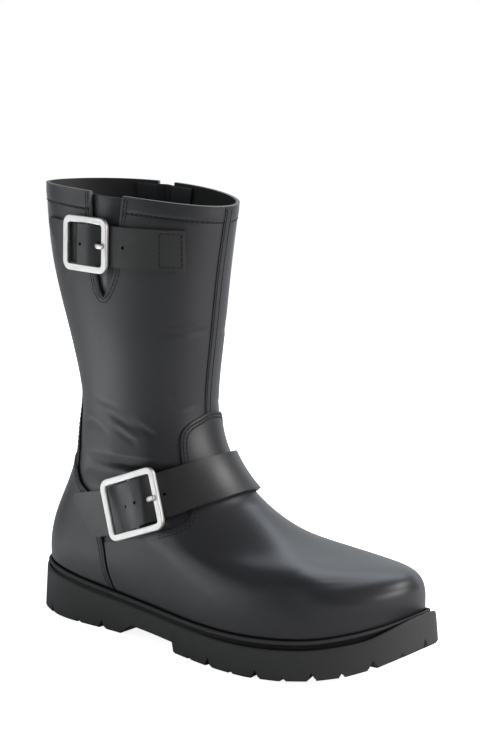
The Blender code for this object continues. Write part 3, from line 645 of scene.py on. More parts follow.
def bake_modifiers(piece):
    """Turn a piece's modifiers into its plain mesh."""
    graph = bpy.context.evaluated_depsgraph_get()
    mesh = bpy.data.meshes.new_from_object(piece.evaluated_get(graph), depsgraph=graph)
    old = piece.data
    piece.modifiers.clear()
    piece.data = mesh
    bpy.data.meshes.remove(old)
    return piece


def shade_faces(piece, chosen):
    """Give the chosen faces of a piece its second material, the near-black rubber painted as shade."""
    piece.data.polygons.foreach_set("material_index", chosen.astype(np.int32))


def outward_normals(piece):
    """Make every face of a closed piece point outwards."""
    bm = bmesh.new()
    bm.from_mesh(piece.data)
    bmesh.ops.recalc_face_normals(bm, faces=bm.faces)
    bm.to_mesh(piece.data)
    bm.free()


def sharpen(piece, degrees):
    """Smooth shading with hard edges where faces meet at more than an angle."""
    piece.data.polygons.foreach_set("use_smooth", [True] * len(piece.data.polygons))
    piece.data.set_sharp_from_angle(angle=math.radians(degrees))


def thicken(piece, thick, bevel, inside_slot=0, rim_slot=0):
    """Give a sheet its thickness inwards and round its cut edges."""
    solid = piece.modifiers.new("Thickness", "SOLIDIFY")
    solid.thickness = thick * MM
    solid.offset = -1.0
    solid.use_rim = True
    solid.material_offset = inside_slot
    solid.material_offset_rim = rim_slot
    edge = piece.modifiers.new("Cut edges", "BEVEL")
    edge.width = bevel * MM
    edge.segments = 3
    edge.limit_method = "ANGLE"
    edge.angle_limit = math.radians(50.0)
    return piece


def store_fold(piece, points):
    """Keep the depth of the creases as an attribute that the leather reads: troughs darker as painted
    shade, ridges lighter as wear.
    """
    attribute = piece.data.attributes.new("fold", "FLOAT", "POINT")
    attribute.data.foreach_set("value", np.asarray(points, np.float32).ravel())


def dress(piece, slot, *nodes):
    """Ride the piece on the boot in place of its solids."""
    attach(piece, "root")
    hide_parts(*nodes)
    return piece


def add_node(tree, kind, values=None, **settings):
    """A node with its settings and the values of its unlinked inputs."""
    node = tree.nodes.new(kind)
    for name, value in settings.items():
        setattr(node, name, value)
    for name, value in (values or {}).items():
        node.inputs[name].default_value = value
    return node


def wire(tree, rows):
    """Join nodes: each row is a node and its output, and a node and its input."""
    for start, out, end, into in rows:
        tree.links.new(start.outputs[out], end.inputs[into])


def new_group(name, kind, inputs, outputs):
    """An empty node group with named sockets, and its input and output nodes."""
    group = bpy.data.node_groups.new(name, kind)
    for label, socket, value in inputs:
        made = group.interface.new_socket(label, in_out="INPUT", socket_type=socket)
        if value is not None:
            made.default_value = value
    for label, socket in outputs:
        group.interface.new_socket(label, in_out="OUTPUT", socket_type=socket)
    return group, group.nodes.new("NodeGroupInput"), group.nodes.new("NodeGroupOutput")


def grain_group():
    """Fine hide grain: a height for bump, and slow changes of tone and gloss."""
    tree, source, result = new_group(
        "hide_grain", "ShaderNodeTree",
        (("Pores per Metre", "NodeSocketFloat", 900.0), ("Cloud per Metre", "NodeSocketFloat", 26.0)),
        (("Height", "NodeSocketFloat"), ("Tone", "NodeSocketFloat")))
    place = add_node(tree, "ShaderNodeTexCoord")
    pores = add_node(tree, "ShaderNodeTexVoronoi", feature="SMOOTH_F1")
    pebble = add_node(tree, "ShaderNodeTexNoise", {"Detail": 3.0})
    third = add_node(tree, "ShaderNodeMath", {1: 0.35}, operation="MULTIPLY")
    mix = add_node(tree, "ShaderNodeMath", {1: 0.6}, operation="MULTIPLY_ADD")
    cloud = add_node(tree, "ShaderNodeTexNoise", {"Detail": 2.0, "Roughness": 0.5})
    wire(tree, (
        (place, "Object", pores, "Vector"),
        (place, "Object", pebble, "Vector"),
        (place, "Object", cloud, "Vector"),
        (source, "Pores per Metre", pores, "Scale"),
        (source, "Pores per Metre", third, 0),
        (third, 0, pebble, "Scale"),
        (source, "Cloud per Metre", cloud, "Scale"),
        (pores, "Distance", mix, 0),
        (pebble, 0, mix, 2),
        (mix, 0, result, "Height"),
        (cloud, 0, result, "Tone"),
    ))
    return tree


def new_surface(name, colour, roughness, metallic=0.0):
    """A material with a Principled shader and its tree."""
    material = bpy.data.materials.new(name)
    material.use_nodes = True
    shader = material.node_tree.nodes["Principled BSDF"]
    shader.inputs["Base Color"].default_value = (*colour, 1.0)
    shader.inputs["Roughness"].default_value = roughness
    shader.inputs["Metallic"].default_value = metallic
    return material, material.node_tree, shader


def grained(name, colour, gloss, bump, pores, light_share, fold_shade_and_wear):
    """A surface with the shared grain: two close tones, two close glosses and a fine bump."""
    material, tree, shader = new_surface(name, colour, gloss[0])
    grain = add_node(tree, "ShaderNodeGroup", node_tree=grain_set())
    grain.inputs["Pores per Metre"].default_value = pores
    tone = add_node(tree, "ShaderNodeMix", data_type="RGBA")
    tone.inputs[6].default_value = (*colour, 1.0)
    tone.inputs[7].default_value = (*[share * light_share for share in colour], 1.0)
    rough = add_node(tree, "ShaderNodeMapRange", {"To Min": gloss[0], "To Max": gloss[1],
                                                  "From Min": 0.3, "From Max": 0.7})
    relief = add_node(tree, "ShaderNodeBump", {"Strength": bump, "Distance": 0.0004})
    wire(tree, (
        (grain, "Tone", rough, "Value"),
        (rough, 0, shader, "Roughness"),
        (grain, "Height", relief, "Height"),
        (relief, "Normal", shader, "Normal"),
        (tone, 2, shader, "Base Color"),
    ))
    # Fold depth shifts the tone: troughs darker as painted shade, ridges and swellings lighter as wear
    if fold_shade_and_wear:
        depth = add_node(tree, "ShaderNodeAttribute", attribute_name="fold")
        crease_shade_and_wear = add_node(tree, "ShaderNodeMath", {1: 0.5}, operation="MULTIPLY_ADD")
        wire(tree, (
            (depth, "Fac", crease_shade_and_wear, 0),
            (grain, "Tone", crease_shade_and_wear, 2),
            (crease_shade_and_wear, 0, tone, 0),
        ))
    else:
        wire(tree, ((grain, "Tone", tone, 0),))
    return material


def grain_set():
    """The shared grain group, made once."""
    return bpy.data.node_groups.get("hide_grain") or grain_group()


def surface(name):
    """A material of the boot by name, made the first time it is asked for."""
    made = bpy.data.materials.get(name)
    if made:
        return made
    if name == "nickel":
        return make_nickel(name)
    setting, *looks = SURFACES[name]
    return grained(name, getattr(bpy.context.scene.boot_colours, setting), *looks)


def make_nickel(name):
    """Brushed nickel: fine scratches along one direction and a soft gloss."""
    colours = bpy.context.scene.boot_colours
    material, tree, shader = new_surface(name, colours.nickel, 0.3, 1.0)
    place = add_node(tree, "ShaderNodeTexCoord")
    stretch = add_node(tree, "ShaderNodeMapping", {"Scale": (900.0, 900.0, 5000.0)})
    brush = add_node(tree, "ShaderNodeTexNoise", {"Scale": 1.0, "Detail": 4.0})
    rough = add_node(tree, "ShaderNodeMapRange", {"To Min": 0.24, "To Max": 0.38,
                                                  "From Min": 0.3, "From Max": 0.7})
    relief = add_node(tree, "ShaderNodeBump", {"Strength": 0.08, "Distance": 0.0002})
    wire(tree, (
        (place, "Object", stretch, "Vector"),
        (stretch, 0, brush, "Vector"),
        (brush, 0, rough, "Value"),
        (rough, 0, shader, "Roughness"),
        (brush, 0, relief, "Height"),
        (relief, "Normal", shader, "Normal"),
    ))
    return material


def slit_turns(level, side):
    """Back and front edge of the slit at a level, in degrees, on the outer (1) or inner (-1) side."""
    back = lookup(SLIT, level, 1)
    front = lookup(SLIT, level, 2)
    if side > 0.0:
        return back, front
    return (INNER_SLIT_MIDDLE + (back - SLIT_MIDDLE) * INNER_SLIT_SHARE,
            INNER_SLIT_MIDDLE + (front - SLIT_MIDDLE) * INNER_SLIT_SHARE)


def upper_rows():
    """Levels of the upper's rows, closer where it creases, with the slit's tip among them."""
    rows = [0.0]
    for top, height in UPPER_ROW_HEIGHTS:
        while rows[-1] < top - 1e-6:
            here = int(min(rows[-1], COLLAR - 0.5))
            span = RINGS[here + 1][1] - RINGS[here][1]
            rows.append(min(rows[-1] + height / span, top))
    rows = np.array(rows)
    rows[np.abs(rows - SLIT_TIP).argmin()] = SLIT_TIP
    return rows


def collar_seam(levels, turns):
    """Height of the leather at the collar: a stitched groove and a soft band above it."""
    row_level = lookup(COLLAR_ROW, np.degrees(np.abs(turns)))
    above = (levels - row_level) * (RINGS[-1][1] - RINGS[-2][1])
    band = COLLAR_BAND * smooth(above / 2.0) * smooth((COLLAR_BAND_TOP - above) / 3.0)
    return band - COLLAR_GROOVE * np.exp(-(above / COLLAR_GROOVE_HALF) ** 2)


def build_upper():
    """The leather shell: shaft, foot and toe in one wall, slit at both sides of the collar."""
    levels = upper_rows()
    step = 360.0 / UPPER_COLUMNS
    even = np.arange(UPPER_COLUMNS) * step
    folded = np.where(even > 180.0, 360.0 - even, even)
    side = np.where(even > 180.0, -1.0, 1.0)
    middle = folded + step / 2.0 * side
    turns = np.empty((len(levels), UPPER_COLUMNS))
    in_slit = np.zeros(UPPER_COLUMNS, bool)
    for sign, columns in ((1.0, OUTER_SLIT_COLUMNS), (-1.0, INNER_SLIT_COLUMNS)):
        here = side == sign
        in_slit |= here & (middle > columns[1]) & (middle < columns[2])
        for row, level in enumerate(levels):
            back, front = slit_turns(level, sign)
            spread = (0.0, columns[0], front, back, columns[3], 180.0)
            turns[row, here] = sign * np.interp(folded[here], (0.0, *columns, 180.0), spread)
    turns = np.radians(turns)
    grid = np.broadcast_to(levels[:, None], turns.shape)
    points = upper_point(grid, turns, collar_seam(grid, turns))
    skip = (levels[:-1, None] > SLIT_TIP - 1e-6) & in_slit[None, :]
    faces = grid_faces(len(levels), UPPER_COLUMNS, True, skip)
    # The shell's rim, its cut edge, is lighter: partly its own tone, partly a painted highlight
    hides = (surface("leather"), surface("lining"), surface("cut_edge"))
    piece = new_mesh("upper_leather", points, faces, hides)
    store_fold(piece, folds(bare_upper(grid, turns)))
    clear_loose(piece)
    thicken(piece, WALL, 0.6, inside_slot=1, rim_slot=2)
    return dress(bake_modifiers(piece), "leather", "upper")


def clear_loose(piece):
    """Remove points that no face uses."""
    bm = bmesh.new()
    bm.from_mesh(piece.data)
    bmesh.ops.delete(bm, geom=[vert for vert in bm.verts if not vert.link_faces], context="VERTS")
    bm.to_mesh(piece.data)
    bm.free()


def edge_curve(edge, count):
    """Turns in radians and levels along an overlay's edge, evenly spaced on the upper."""
    table = np.array(edge)
    spots = bare_upper(table[:, 1], np.radians(table[:, 0]))
    knots = run_along(spots)
    fine = spline(knots, table, np.linspace(0.0, knots[-1], 600))
    spots = bare_upper(fine[:, 1], np.radians(fine[:, 0]))
    run = run_along(spots)
    even = np.linspace(0.0, run[-1], count)
    return np.radians(np.interp(even, run, fine[:, 0])), np.interp(even, run, fine[:, 1])


def seam_lean(levels):
    """How far the seam between vamp and counter leans towards the toe near the sole, in radians."""
    return math.radians(SEAM_LEAN) * smooth((SEAM_LEAN_TOP - levels) / SEAM_LEAN_TOP)


def overlay(name, low_turns, top_turns, tops, rows, lift, node):
    """A leather overlay from the sole up to its edge, its columns running from sole turns to edge turns."""
    share = np.linspace(0.0, 1.0, rows)[:, None]
    levels = OVERLAY_LOW + (tops[None, :] - OVERLAY_LOW) * share
    turns = low_turns + (top_turns - low_turns) * share
    seam = math.radians(COUNTER_EDGE[0][0])
    folded = np.where(turns > np.pi, 2.0 * np.pi - turns, np.abs(turns))
    near = np.where(folded < seam, folded / seam, (np.pi - folded) / (np.pi - seam))
    lean = seam_lean(levels) * near * np.where((turns < 0.0) | (turns > np.pi), -1.0, 1.0)
    return leather_sheet(name, levels, turns - lean, lift, node)


def leather_sheet(name, levels, turns, lift, node):
    """A sheet of hide on the upper, over a grid of levels and turns."""
    points = upper_point(levels, turns, lift)
    piece = new_mesh(name, points, grid_faces(*levels.shape), (surface("leather"),))
    store_fold(piece, folds(bare_upper(levels, turns)))
    thicken(piece, lift - UNDER_OVERLAY, 0.5)
    return dress(bake_modifiers(piece), "overlay_leather", node)


def inner_vamp_edge():
    """The vamp's edge on the inner side, its peak further round."""
    turns = column(VAMP_EDGE, 0)
    fade = smooth(turns / VAMP_EDGE[1][0]) * smooth((turns[-1] - turns) / 60.0)
    return list(zip(turns + VAMP_INNER_EXTRA * fade, column(VAMP_EDGE, 1)))


def vamp_curve(count):
    """Turns and levels along the whole back edge of the vamp, from the inner side to the outer."""
    outer_turns, outer_tops = edge_curve(VAMP_EDGE, count)
    inner_turns, inner_tops = edge_curve(inner_vamp_edge(), count)
    turns = np.concatenate([-inner_turns[:0:-1], outer_turns])
    return turns, np.concatenate([inner_tops[:0:-1], outer_tops])


def build_vamp():
    """Leather over the toe and instep, with a rounded peak up the shin."""
    turns, tops = vamp_curve(95)
    even = np.linspace(turns[0], turns[-1], len(turns))
    return overlay("vamp_leather", even, turns, tops, 110, VAMP_LIFT, "vamp")


def build_counter():
    """Stiff leather round the heel."""
    turns, tops = edge_curve(COUNTER_EDGE, 40)
    turns = np.concatenate([turns, 2.0 * np.pi - turns[-2::-1]])
    tops = np.concatenate([tops, tops[-2::-1]])
    even = np.linspace(turns[0], turns[-1], len(turns))
    return overlay("counter_leather", even, turns, tops, 50, COUNTER_LIFT, "counter")


def stay_half(levels):
    """Half width of the backstay at levels, in degrees."""
    table = np.array(BACKSTAY)
    return spline(table[:, 0], table[:, 1], np.maximum(levels, table[0, 0]))


def build_backstay():
    """Strip that covers the back seam, wider towards the heel."""
    across = np.linspace(-1.0, 1.0, 41)[None, :]
    ends = 180.0 - BACKSTAY[0][1] * np.abs(across)
    low = spline(column(COUNTER_EDGE, 0), column(COUNTER_EDGE, 1), ends) + STAY_GAP
    levels = low + (BACKSTAY[-1][0] - low) * np.linspace(0.0, 1.0, 110)[:, None]
    turns = np.radians(180.0 + stay_half(levels) * across)
    return leather_sheet("backstay_leather", levels, turns, STAY_LIFT, "backstay")


def build_front_seam():
    """Narrow raised seam up the shin."""
    levels = np.linspace(*FRONT_SEAM_LEVELS, 120)[:, None]
    turns = np.radians(np.linspace(-1.0, 1.0, 7))[None, :] * FRONT_SEAM_HALF
    levels, turns = np.broadcast_arrays(levels, turns)
    return leather_sheet("front_seam_leather", levels, turns, SEAM_LIFT, "front_seam")


def build_gusset(name, side):
    """Soft leather behind one slit, bulging a little into it."""
    levels = np.linspace(*GUSSET_LEVELS, 60)[:, None]
    middle = SLIT_MIDDLE if side > 0.0 else INNER_SLIT_MIDDLE
    turns = np.radians(side * middle + np.linspace(-GUSSET_HALF, GUSSET_HALF, 40))[None, :]
    levels, turns = np.broadcast_arrays(levels, turns)
    back, front = slit_turns(levels, side)
    across = (np.degrees(np.abs(turns)) - front) / np.maximum(back - front, 1.0)
    bulge = np.sin(np.pi * np.clip(across, 0.0, 1.0)) ** 1.5 * smooth((levels - SLIT_TIP) / 0.5)
    points = upper_point(levels, turns, GUSSET_BULGE * bulge - WALL - GAP)
    piece = new_mesh(f"{name}_leather", points, grid_faces(*levels.shape), (surface("leather"),))
    store_fold(piece, np.zeros(levels.size))
    thicken(piece, GUSSET_THICK, 0.4)
    return dress(bake_modifiers(piece), "gusset_leather", name)


class Strap:
    """The band of one strap: where it runs on the upper and how far along it is."""

    def __init__(self, name):
        self.name = name
        self.sizes = STRAPS[name]
        self.buckle = BUCKLES[name]
        self.turns = np.radians(np.arange(-130.0, 160.0, 0.5))
        self.levels = np.linspace(0.0, COLLAR, 551)
        grid = bare_upper(*np.meshgrid(self.levels, self.turns, indexing="ij"))
        ahead = grid[..., 0] - STRAP_STATION
        line = self.sizes["height"] + self.sizes["rise"] * ahead + self.sizes["bow"] * ahead ** 2
        self.height = grid[..., 2] - line
        self.middle, self.toe, self.up, self.out = self.buckle_frame()

    def level_at(self, offset, turns):
        """Level where the strap's line at an offset across its width meets each turn."""
        slope = math.sqrt(1.0 + self.sizes["rise"] ** 2)
        levels = [np.interp(offset * slope, self.height[:, place], self.levels)
                  for place in range(len(self.turns))]
        return np.interp(turns, self.turns, levels)

    def bare(self, offset, turns, lift=0.0):
        """Points along one line of the strap, lifted off the smooth upper."""
        levels = self.level_at(offset, turns)
        normal = upper_slopes(levels, turns)[2]
        return bare_upper(levels, turns) + normal * np.asarray(lift, float).reshape(-1, 1)

    def buckle_frame(self):
        """Middle of the buckle on the upper, and its directions towards the toe, up and out."""
        at = math.radians(self.buckle["turn"])
        reach = math.radians(18.0)
        half = self.sizes["width"] / 2.0
        turns = np.array([at - reach, at, at + reach])
        rows = [self.bare(offset, turns) for offset in (-half, 0.0, half)]
        toe = rows[1][0] - rows[1][2]
        toe /= np.linalg.norm(toe)
        up = rows[2][1] - rows[0][1]
        up -= toe * np.dot(up, toe)
        up /= np.linalg.norm(up)
        return rows[1][1], toe, up, np.cross(toe, up)

    def runs(self, offset):
        """Distance along one line of the strap at each turn, from the buckle towards the heel."""
        line = self.bare(offset, self.turns)
        run = run_along(line)
        near = np.abs(self.turns - math.radians(self.buckle["turn"])) < 0.6
        beside = (self.middle - line) @ self.toe
        return run - np.interp(0.0, beside[near], run[near])

    def lift_at(self, run, turns):
        """Lift of the strap's underside, with the hump over the buckle's centre bar."""
        start, full, last, end = self.sizes["hump"]
        hump = smooth((run - start) / (full - start)) * smooth((end - run) / (end - last))
        base = self.base_lift(np.degrees(turns))
        over = self.buckle["lift"] + 2.0 * CENTRE_BAR_RADIUS + OVER_BAR
        return base + hump * (over - self.base_lift(self.buckle["turn"]))

    def base_lift(self, degrees):
        """Lift of the strap's underside away from its buckle."""
        return lookup(self.sizes["lifts"], degrees)

    def surface(self, offset, run):
        """Points of the strap's outer face at an offset and at distances along it."""
        run = np.atleast_1d(np.asarray(run, float))
        turns = np.interp(run, self.runs(offset), self.turns)
        return self.bare(offset, turns, self.lift_at(run, turns) + STRAP_THICK)


def build_strap(strap):
    """One strap from its sewn end, under the buckle and over its centre bar, to its slanted tail."""
    sizes = strap.sizes
    middle_run = strap.runs(0.0)
    start = np.interp(math.radians(sizes["front"]), strap.turns, middle_run)
    end = np.interp(math.radians(sizes["tail"]), strap.turns, middle_run)
    even = np.linspace(start, end, int((end - start) / STRAP_STEP))
    after = sizes["hump"][3] + 1.0
    share = np.clip((even - after) / (end - after), 0.0, 1.0)
    half = sizes["width"] / 2.0
    rows = []
    for across in np.sin(np.linspace(-math.pi / 2.0, math.pi / 2.0, 21)):
        in_corner = max(abs(across) * half - half + TAIL_CORNER, 0.0)
        rounding = TAIL_CORNER - math.sqrt(TAIL_CORNER ** 2 - in_corner ** 2)
        run = even + (sizes["slant"] * across - rounding) * share
        rows.append(strap.surface(across * half, run))
    points = np.stack(rows)
    faces = grid_faces(*points.shape[:2])
    piece = new_mesh(f"strap_{strap.name}_leather", points, faces, (surface("strap_leather"),))
    thicken(piece, STRAP_THICK, 0.55)
    bake_modifiers(piece)
    for hole in STRAP_HOLES[strap.name][:-1]:
        punch(piece, strap, hole, HOLE_RADIUS)
    punch(piece, strap, STRAP_HOLES[strap.name][-1], PRONG_HOLE_RADIUS)
    sharpen(piece, 60.0)
    return dress(piece, "strap_leather", f"strap_{strap.name}")


def punch(piece, strap, hole, radius):
    """Cut one round hole through a strap."""
    spots = strap.surface(0.0, np.array([hole - 1.0, hole, hole + 1.0]))
    along = (spots[2] - spots[0]) / np.linalg.norm(spots[2] - spots[0])
    out = np.cross(strap.up, along)
    out *= np.sign(np.dot(out, strap.out)) / np.linalg.norm(out)
    across = np.cross(out, along)
    angles = np.linspace(0.0, 2.0 * np.pi, 20, endpoint=False)
    circle = radius * (np.cos(angles)[:, None] * along + np.sin(angles)[:, None] * across)
    low = spots[1] + circle - out * 4.0
    high = spots[1] + circle + out * 2.0
    count = len(angles)
    faces = [(i, (i + 1) % count, count + (i + 1) % count, count + i) for i in range(count)]
    faces.append(tuple(range(count)))
    faces.append(tuple(range(count, 2 * count)))
    cutter = new_mesh("punch", np.concatenate([low, high]), faces)
    outward_normals(cutter)
    cut = piece.modifiers.new("Hole", "BOOLEAN")
    cut.operation = "DIFFERENCE"
    cut.solver = "EXACT"
    cut.object = cutter
    bake_modifiers(piece)
    bpy.data.objects.remove(cutter, do_unlink=True)


def rounded_frame(sizes, steps=10):
    """Middle line of a buckle's frame: along and across the strap, and the way outwards."""
    points = []
    half_long = sizes["long"] / 2.0 - BUCKLE_CORNER
    half_tall = sizes["tall"] / 2.0 - BUCKLE_CORNER
    radius = BUCKLE_CORNER - BUCKLE_BAR / 2.0
    for quarter, (sign_long, sign_tall) in enumerate(((1, 1), (-1, 1), (-1, -1), (1, -1))):
        for step in range(steps + 1):
            angle = math.pi / 2.0 * (quarter + step / steps)
            points.append((sign_long * half_long + radius * math.cos(angle),
                           sign_tall * half_tall + radius * math.sin(angle),
                           math.cos(angle), math.sin(angle)))
    return points


def bar_profile(count=28, power=5.5):
    """Section of the buckle's bar: a soft rectangle, sideways and height."""
    spots = []
    for angle in np.linspace(0.0, 2.0 * math.pi, count, endpoint=False):
        wide = math.copysign(abs(math.cos(angle)) ** (2.0 / power), math.cos(angle))
        tall = math.copysign(abs(math.sin(angle)) ** (2.0 / power), math.sin(angle))
        spots.append((wide * BUCKLE_BAR / 2.0, (tall + 1.0) * BUCKLE_THICK / 2.0))
    return spots


def tube(name, centres, sides, radii, up, material):
    """A rod along given centres, with closed ends and two half sizes at each: sideways and over."""
    along = np.gradient(centres, axis=0)
    along /= np.linalg.norm(along, axis=1, keepdims=True)
    points = []
    for centre, way, (wide, thick) in zip(centres, along, radii):
        over = np.cross(way, up)
        for angle in np.linspace(0.0, 2.0 * math.pi, sides, endpoint=False):
            points.append(centre + wide * math.cos(angle) * up + thick * math.sin(angle) * over)
    faces = grid_faces(len(centres), sides, closed=True)
    faces.append(tuple(range(sides)))
    faces.append(tuple(range((len(centres) - 1) * sides, len(centres) * sides)))
    piece = new_mesh(name, np.array(points), faces, (material,))
    outward_normals(piece)
    sharpen(piece, 60.0)
    return piece


def build_buckle(strap):
    """A soft-edged frame with rounded corners, and the round bar across its middle."""
    base = strap.buckle["lift"]
    path = rounded_frame(strap.buckle)
    profile = bar_profile()
    points = []
    for along, across, out_long, out_tall in path:
        for sideways, height in profile:
            points.append(strap.middle + strap.toe * (along + out_long * sideways)
                          + strap.up * (across + out_tall * sideways) + strap.out * (base + height))
    buckle = new_mesh(f"buckle_{strap.name}_frame", np.array(points), loop_faces(len(path), len(profile)),
                      (surface("nickel"),))
    outward_normals(buckle)
    reach = strap.buckle["tall"] / 2.0 - BUCKLE_BAR / 2.0
    height = base + CENTRE_BAR_RADIUS
    ends = np.array([strap.middle + strap.up * across + strap.out * height for across in (-reach, reach)])
    round_bar = np.full((2, 2), CENTRE_BAR_RADIUS)
    bar = tube(f"buckle_{strap.name}_bar", ends, 16, round_bar, strap.toe, surface("nickel"))
    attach(bar, "root")
    return dress(buckle, "nickel", f"buckle_{strap.name}")


def build_prong(strap):
    """The prong: from the centre bar up through the strap's hole and onto the front bar."""
    spots = np.array(strap.buckle["prong"])
    knots = run_along(spots)
    places = np.append(np.linspace(0.0, knots[-1] - 1.0, 24), knots[-1] - np.array((0.5, 0.2, 0.05, 0.0)))
    path = spline(knots, spots, places)
    base = strap.buckle["lift"]
    centres = strap.middle + path[:, :1] * strap.toe + (base + path[:, 1:]) * strap.out
    left = np.clip((knots[-1] - places) / 1.0, 0.0, 1.0)
    taper = np.sqrt(np.maximum(1.0 - (1.0 - left) ** 2, 0.02))
    radii = np.column_stack([PRONG_WIDE * taper, PRONG_THICK * taper])
    prong = tube(f"prong_{strap.name}_rod", centres, 16, radii, strap.up, surface("nickel"))
    return dress(prong, "nickel", f"prong_{strap.name}")


def notch_places():
    """Turn and size of each notch, large and small by turns round the forefoot and the heel."""
    turns = np.linspace(math.radians(FOREFOOT_NOTCH_TURN), -math.radians(FOREFOOT_NOTCH_TURN), 2000)
    edge = sole_edge(turns)
    run = run_along(edge)
    places = []
    for number in range(int(run[-1] / NOTCH_STEP) + 1):
        angle = float(np.interp(number * NOTCH_STEP, run, turns))
        places.append((angle, NOTCH_LARGE if number % 2 else NOTCH_SMALL))
    for number, degrees in enumerate(HEEL_NOTCH_TURNS):
        size = NOTCH_SMALL if number % 2 else NOTCH_LARGE
        places.append((math.radians(degrees), size))
        places.append((-math.radians(degrees), size))
    return places


def sole_columns():
    """Turns of the sole's columns, the same on both sides, with every notch and the arch among them."""
    even = np.linspace(0.0, np.pi, 2001)
    edge = sole_edge(even)
    run = run_along(edge)
    runs = list(np.linspace(0.0, run[-1], 420))
    for angle, size in notch_places():
        middle = np.interp(abs(angle), even, run)
        runs.extend((middle - size["wide"] / 2.0, middle, middle + size["wide"] / 2.0))
    for station in (ARCH_START, ARCH_TOP_START, ARCH_TOP_END, ARCH_END):
        runs.append(np.interp(math.acos(2.0 * station / SOLE_LENGTH - 1.0), even, run))
    runs = np.unique(np.round(np.clip(runs, 0.0, run[-1]), 3))
    runs = runs[np.concatenate([[True], np.diff(runs) > 0.05])]
    runs[-1] = run[-1]
    half = np.interp(runs, run, even)
    return np.concatenate([half, 2.0 * np.pi - half[-2:0:-1]])


def notch_heights(turns, inset):
    """Height of the notches in the tread's edge at each column."""
    edge = sole_edge(turns)
    height = np.zeros(len(turns))
    for angle, size in notch_places():
        if inset >= size["deep"]:
            continue
        away = np.linalg.norm(edge - sole_edge(np.array([angle])), axis=1)
        height = np.maximum(height, size["high"] * (1.0 - away / (size["wide"] / 2.0)))
    return height


def groove_heights(x, inset):
    """Depth of the grooves between the lugs at stations on the tread."""
    depth = np.zeros_like(x)
    inside = GROOVE_INSET <= inset <= GROOVE_INSET + GROOVE_WIDE
    for start, end in GROOVE_SPANS:
        if inside:
            depth = np.where((x > start) & (x < end), GROOVE_DEEP, depth)
    if inset > GROOVE_INSET:
        for station in CROSS_GROOVES:
            depth = np.where(np.abs(x - station) < GROOVE_WIDE / 2.0, GROOVE_DEEP - 0.5, depth)
    return depth


def sole_ends(x):
    """How far up the rising ends of the sole's lip, from 0 to 1, at the toe and at the heel."""
    toe = smooth((x - TOE_LIP_START) / (SOLE_LENGTH - TOE_LIP_START))
    return toe, smooth((HEEL_LIP_END - x) / HEEL_LIP_END)


def build_outsole():
    """Rubber sole: lugged tread, heel, arch, toe spring and a plain wall with a raised lip."""
    turns = sole_columns()
    rings = []
    edge = sole_edge(turns)
    toe, heel = sole_ends(edge[:, 0])
    end_rise = TOE_LIP_RISE * toe + HEEL_LIP_RISE * heel
    for inset, rise in reversed(SOLE_CHANNEL):
        place = sole_edge(turns, inset)
        rings.append(np.column_stack([place, sole_top(place[:, 0]) + rise]))
    for inset, rise in reversed(SOLE_LIP):
        place = sole_edge(turns, inset)
        rings.append(np.column_stack([place, sole_top(place[:, 0]) + rise + end_rise]))
    low = tread(edge[:, 0])
    notch = notch_heights(turns, 0.0)
    foot = low + np.maximum(SOLE_CHAMFER, notch + 0.2)
    top_edge = rings[-1][:, :2]
    high = rings[-1][:, 2]
    for share in (0.25, 0.5, 0.75, 1.0):
        height = high + (foot - high) * share
        climb = (height - low - SOLE_CHAMFER) / (high - low - SOLE_CHAMFER)
        rings.append(np.column_stack([edge + (top_edge - edge) * climb[:, None], height]))
    for inset in TREAD_INSETS:
        place = sole_edge(turns, inset)
        cut = np.maximum(notch_heights(turns, inset), groove_heights(place[:, 0], inset))
        rings.append(np.column_stack([place, tread(place[:, 0]) + cut]))
    rings = np.stack(rings)
    count = rings.shape[1]
    faces = grid_faces(len(rings), count, closed=True)
    faces += bridge(0, count)
    faces += bridge((len(rings) - 1) * count, count)
    outsole = new_mesh("outsole_rubber", rings, faces, (surface("rubber"), surface("channel_rubber")))
    # The channel's faces take the near-black rubber: painted shade
    shade_faces(outsole, np.arange(len(faces)) < CHANNEL_ROWS * count)
    outward_normals(outsole)
    sharpen(outsole, 32.0)
    return dress(outsole, "rubber", "outsole")


def bridge(base, count):
    """Faces across a ring of points, between the same places on its two sides."""
    half = count // 2
    faces = [(base, base + 1, base + count - 1)]
    for place in range(1, half - 1):
        faces.append((base + place, base + place + 1, base + count - place - 1, base + count - place))
    faces.append((base + half - 1, base + half, base + half + 1))
    return faces


def build_welt():
    """Bead of rubber round the upper, on top of the sole."""
    turns = np.linspace(0.0, 2.0 * np.pi, WELT_COLUMNS, endpoint=False)
    run = np.arange(len(WELT_PROFILE), dtype=float)
    profile = spline(run, np.array(WELT_PROFILE), np.linspace(1.0, run[-2], 33))
    profile = np.vstack([WELT_PROFILE[0], profile, WELT_PROFILE[-1]])
    rings = []
    for out, rise in profile:
        place = outward_shift(foot_outline, turns, out)
        height = rise * (1.0 - BEAD_END_DROP * sum(sole_ends(place[:, 0])))
        rings.append(np.column_stack([place, sole_top(place[:, 0]) + height]))
    points = np.stack(rings).transpose(1, 0, 2)
    faces = loop_faces(WELT_COLUMNS, len(profile))
    welt = new_mesh("welt_bead", points, faces, (surface("rubber"), surface("channel_rubber")))
    # The recess under the bead takes the near-black rubber: painted shade
    shade_faces(welt, np.arange(len(faces)) % len(profile) >= WELT_RECESS)
    outward_normals(welt)
    sharpen(welt, 60.0)
    return dress(welt, "rubber", "welt")


def build_insole():
    """Footbed on the sole, inside the upper, a little dished."""
    half = np.linspace(0.0, np.pi, 90)
    turns = np.concatenate([half, 2.0 * np.pi - half[-2:0:-1]])
    rings = []
    for inset, rise in INSOLE_PROFILE:
        place = outward_shift(foot_outline, turns, -inset)
        rings.append(np.column_stack([place, sole_top(place[:, 0]) + rise]))
    points = np.stack(rings)
    count = points.shape[1]
    faces = grid_faces(len(points), count, closed=True)
    faces += bridge(0, count)
    faces += bridge((len(points) - 1) * count, count)
    insole = new_mesh("insole_bed", points, faces, (surface("lining"),))
    outward_normals(insole)
    sharpen(insole, 50.0)
    return dress(insole, "lining", "insole")


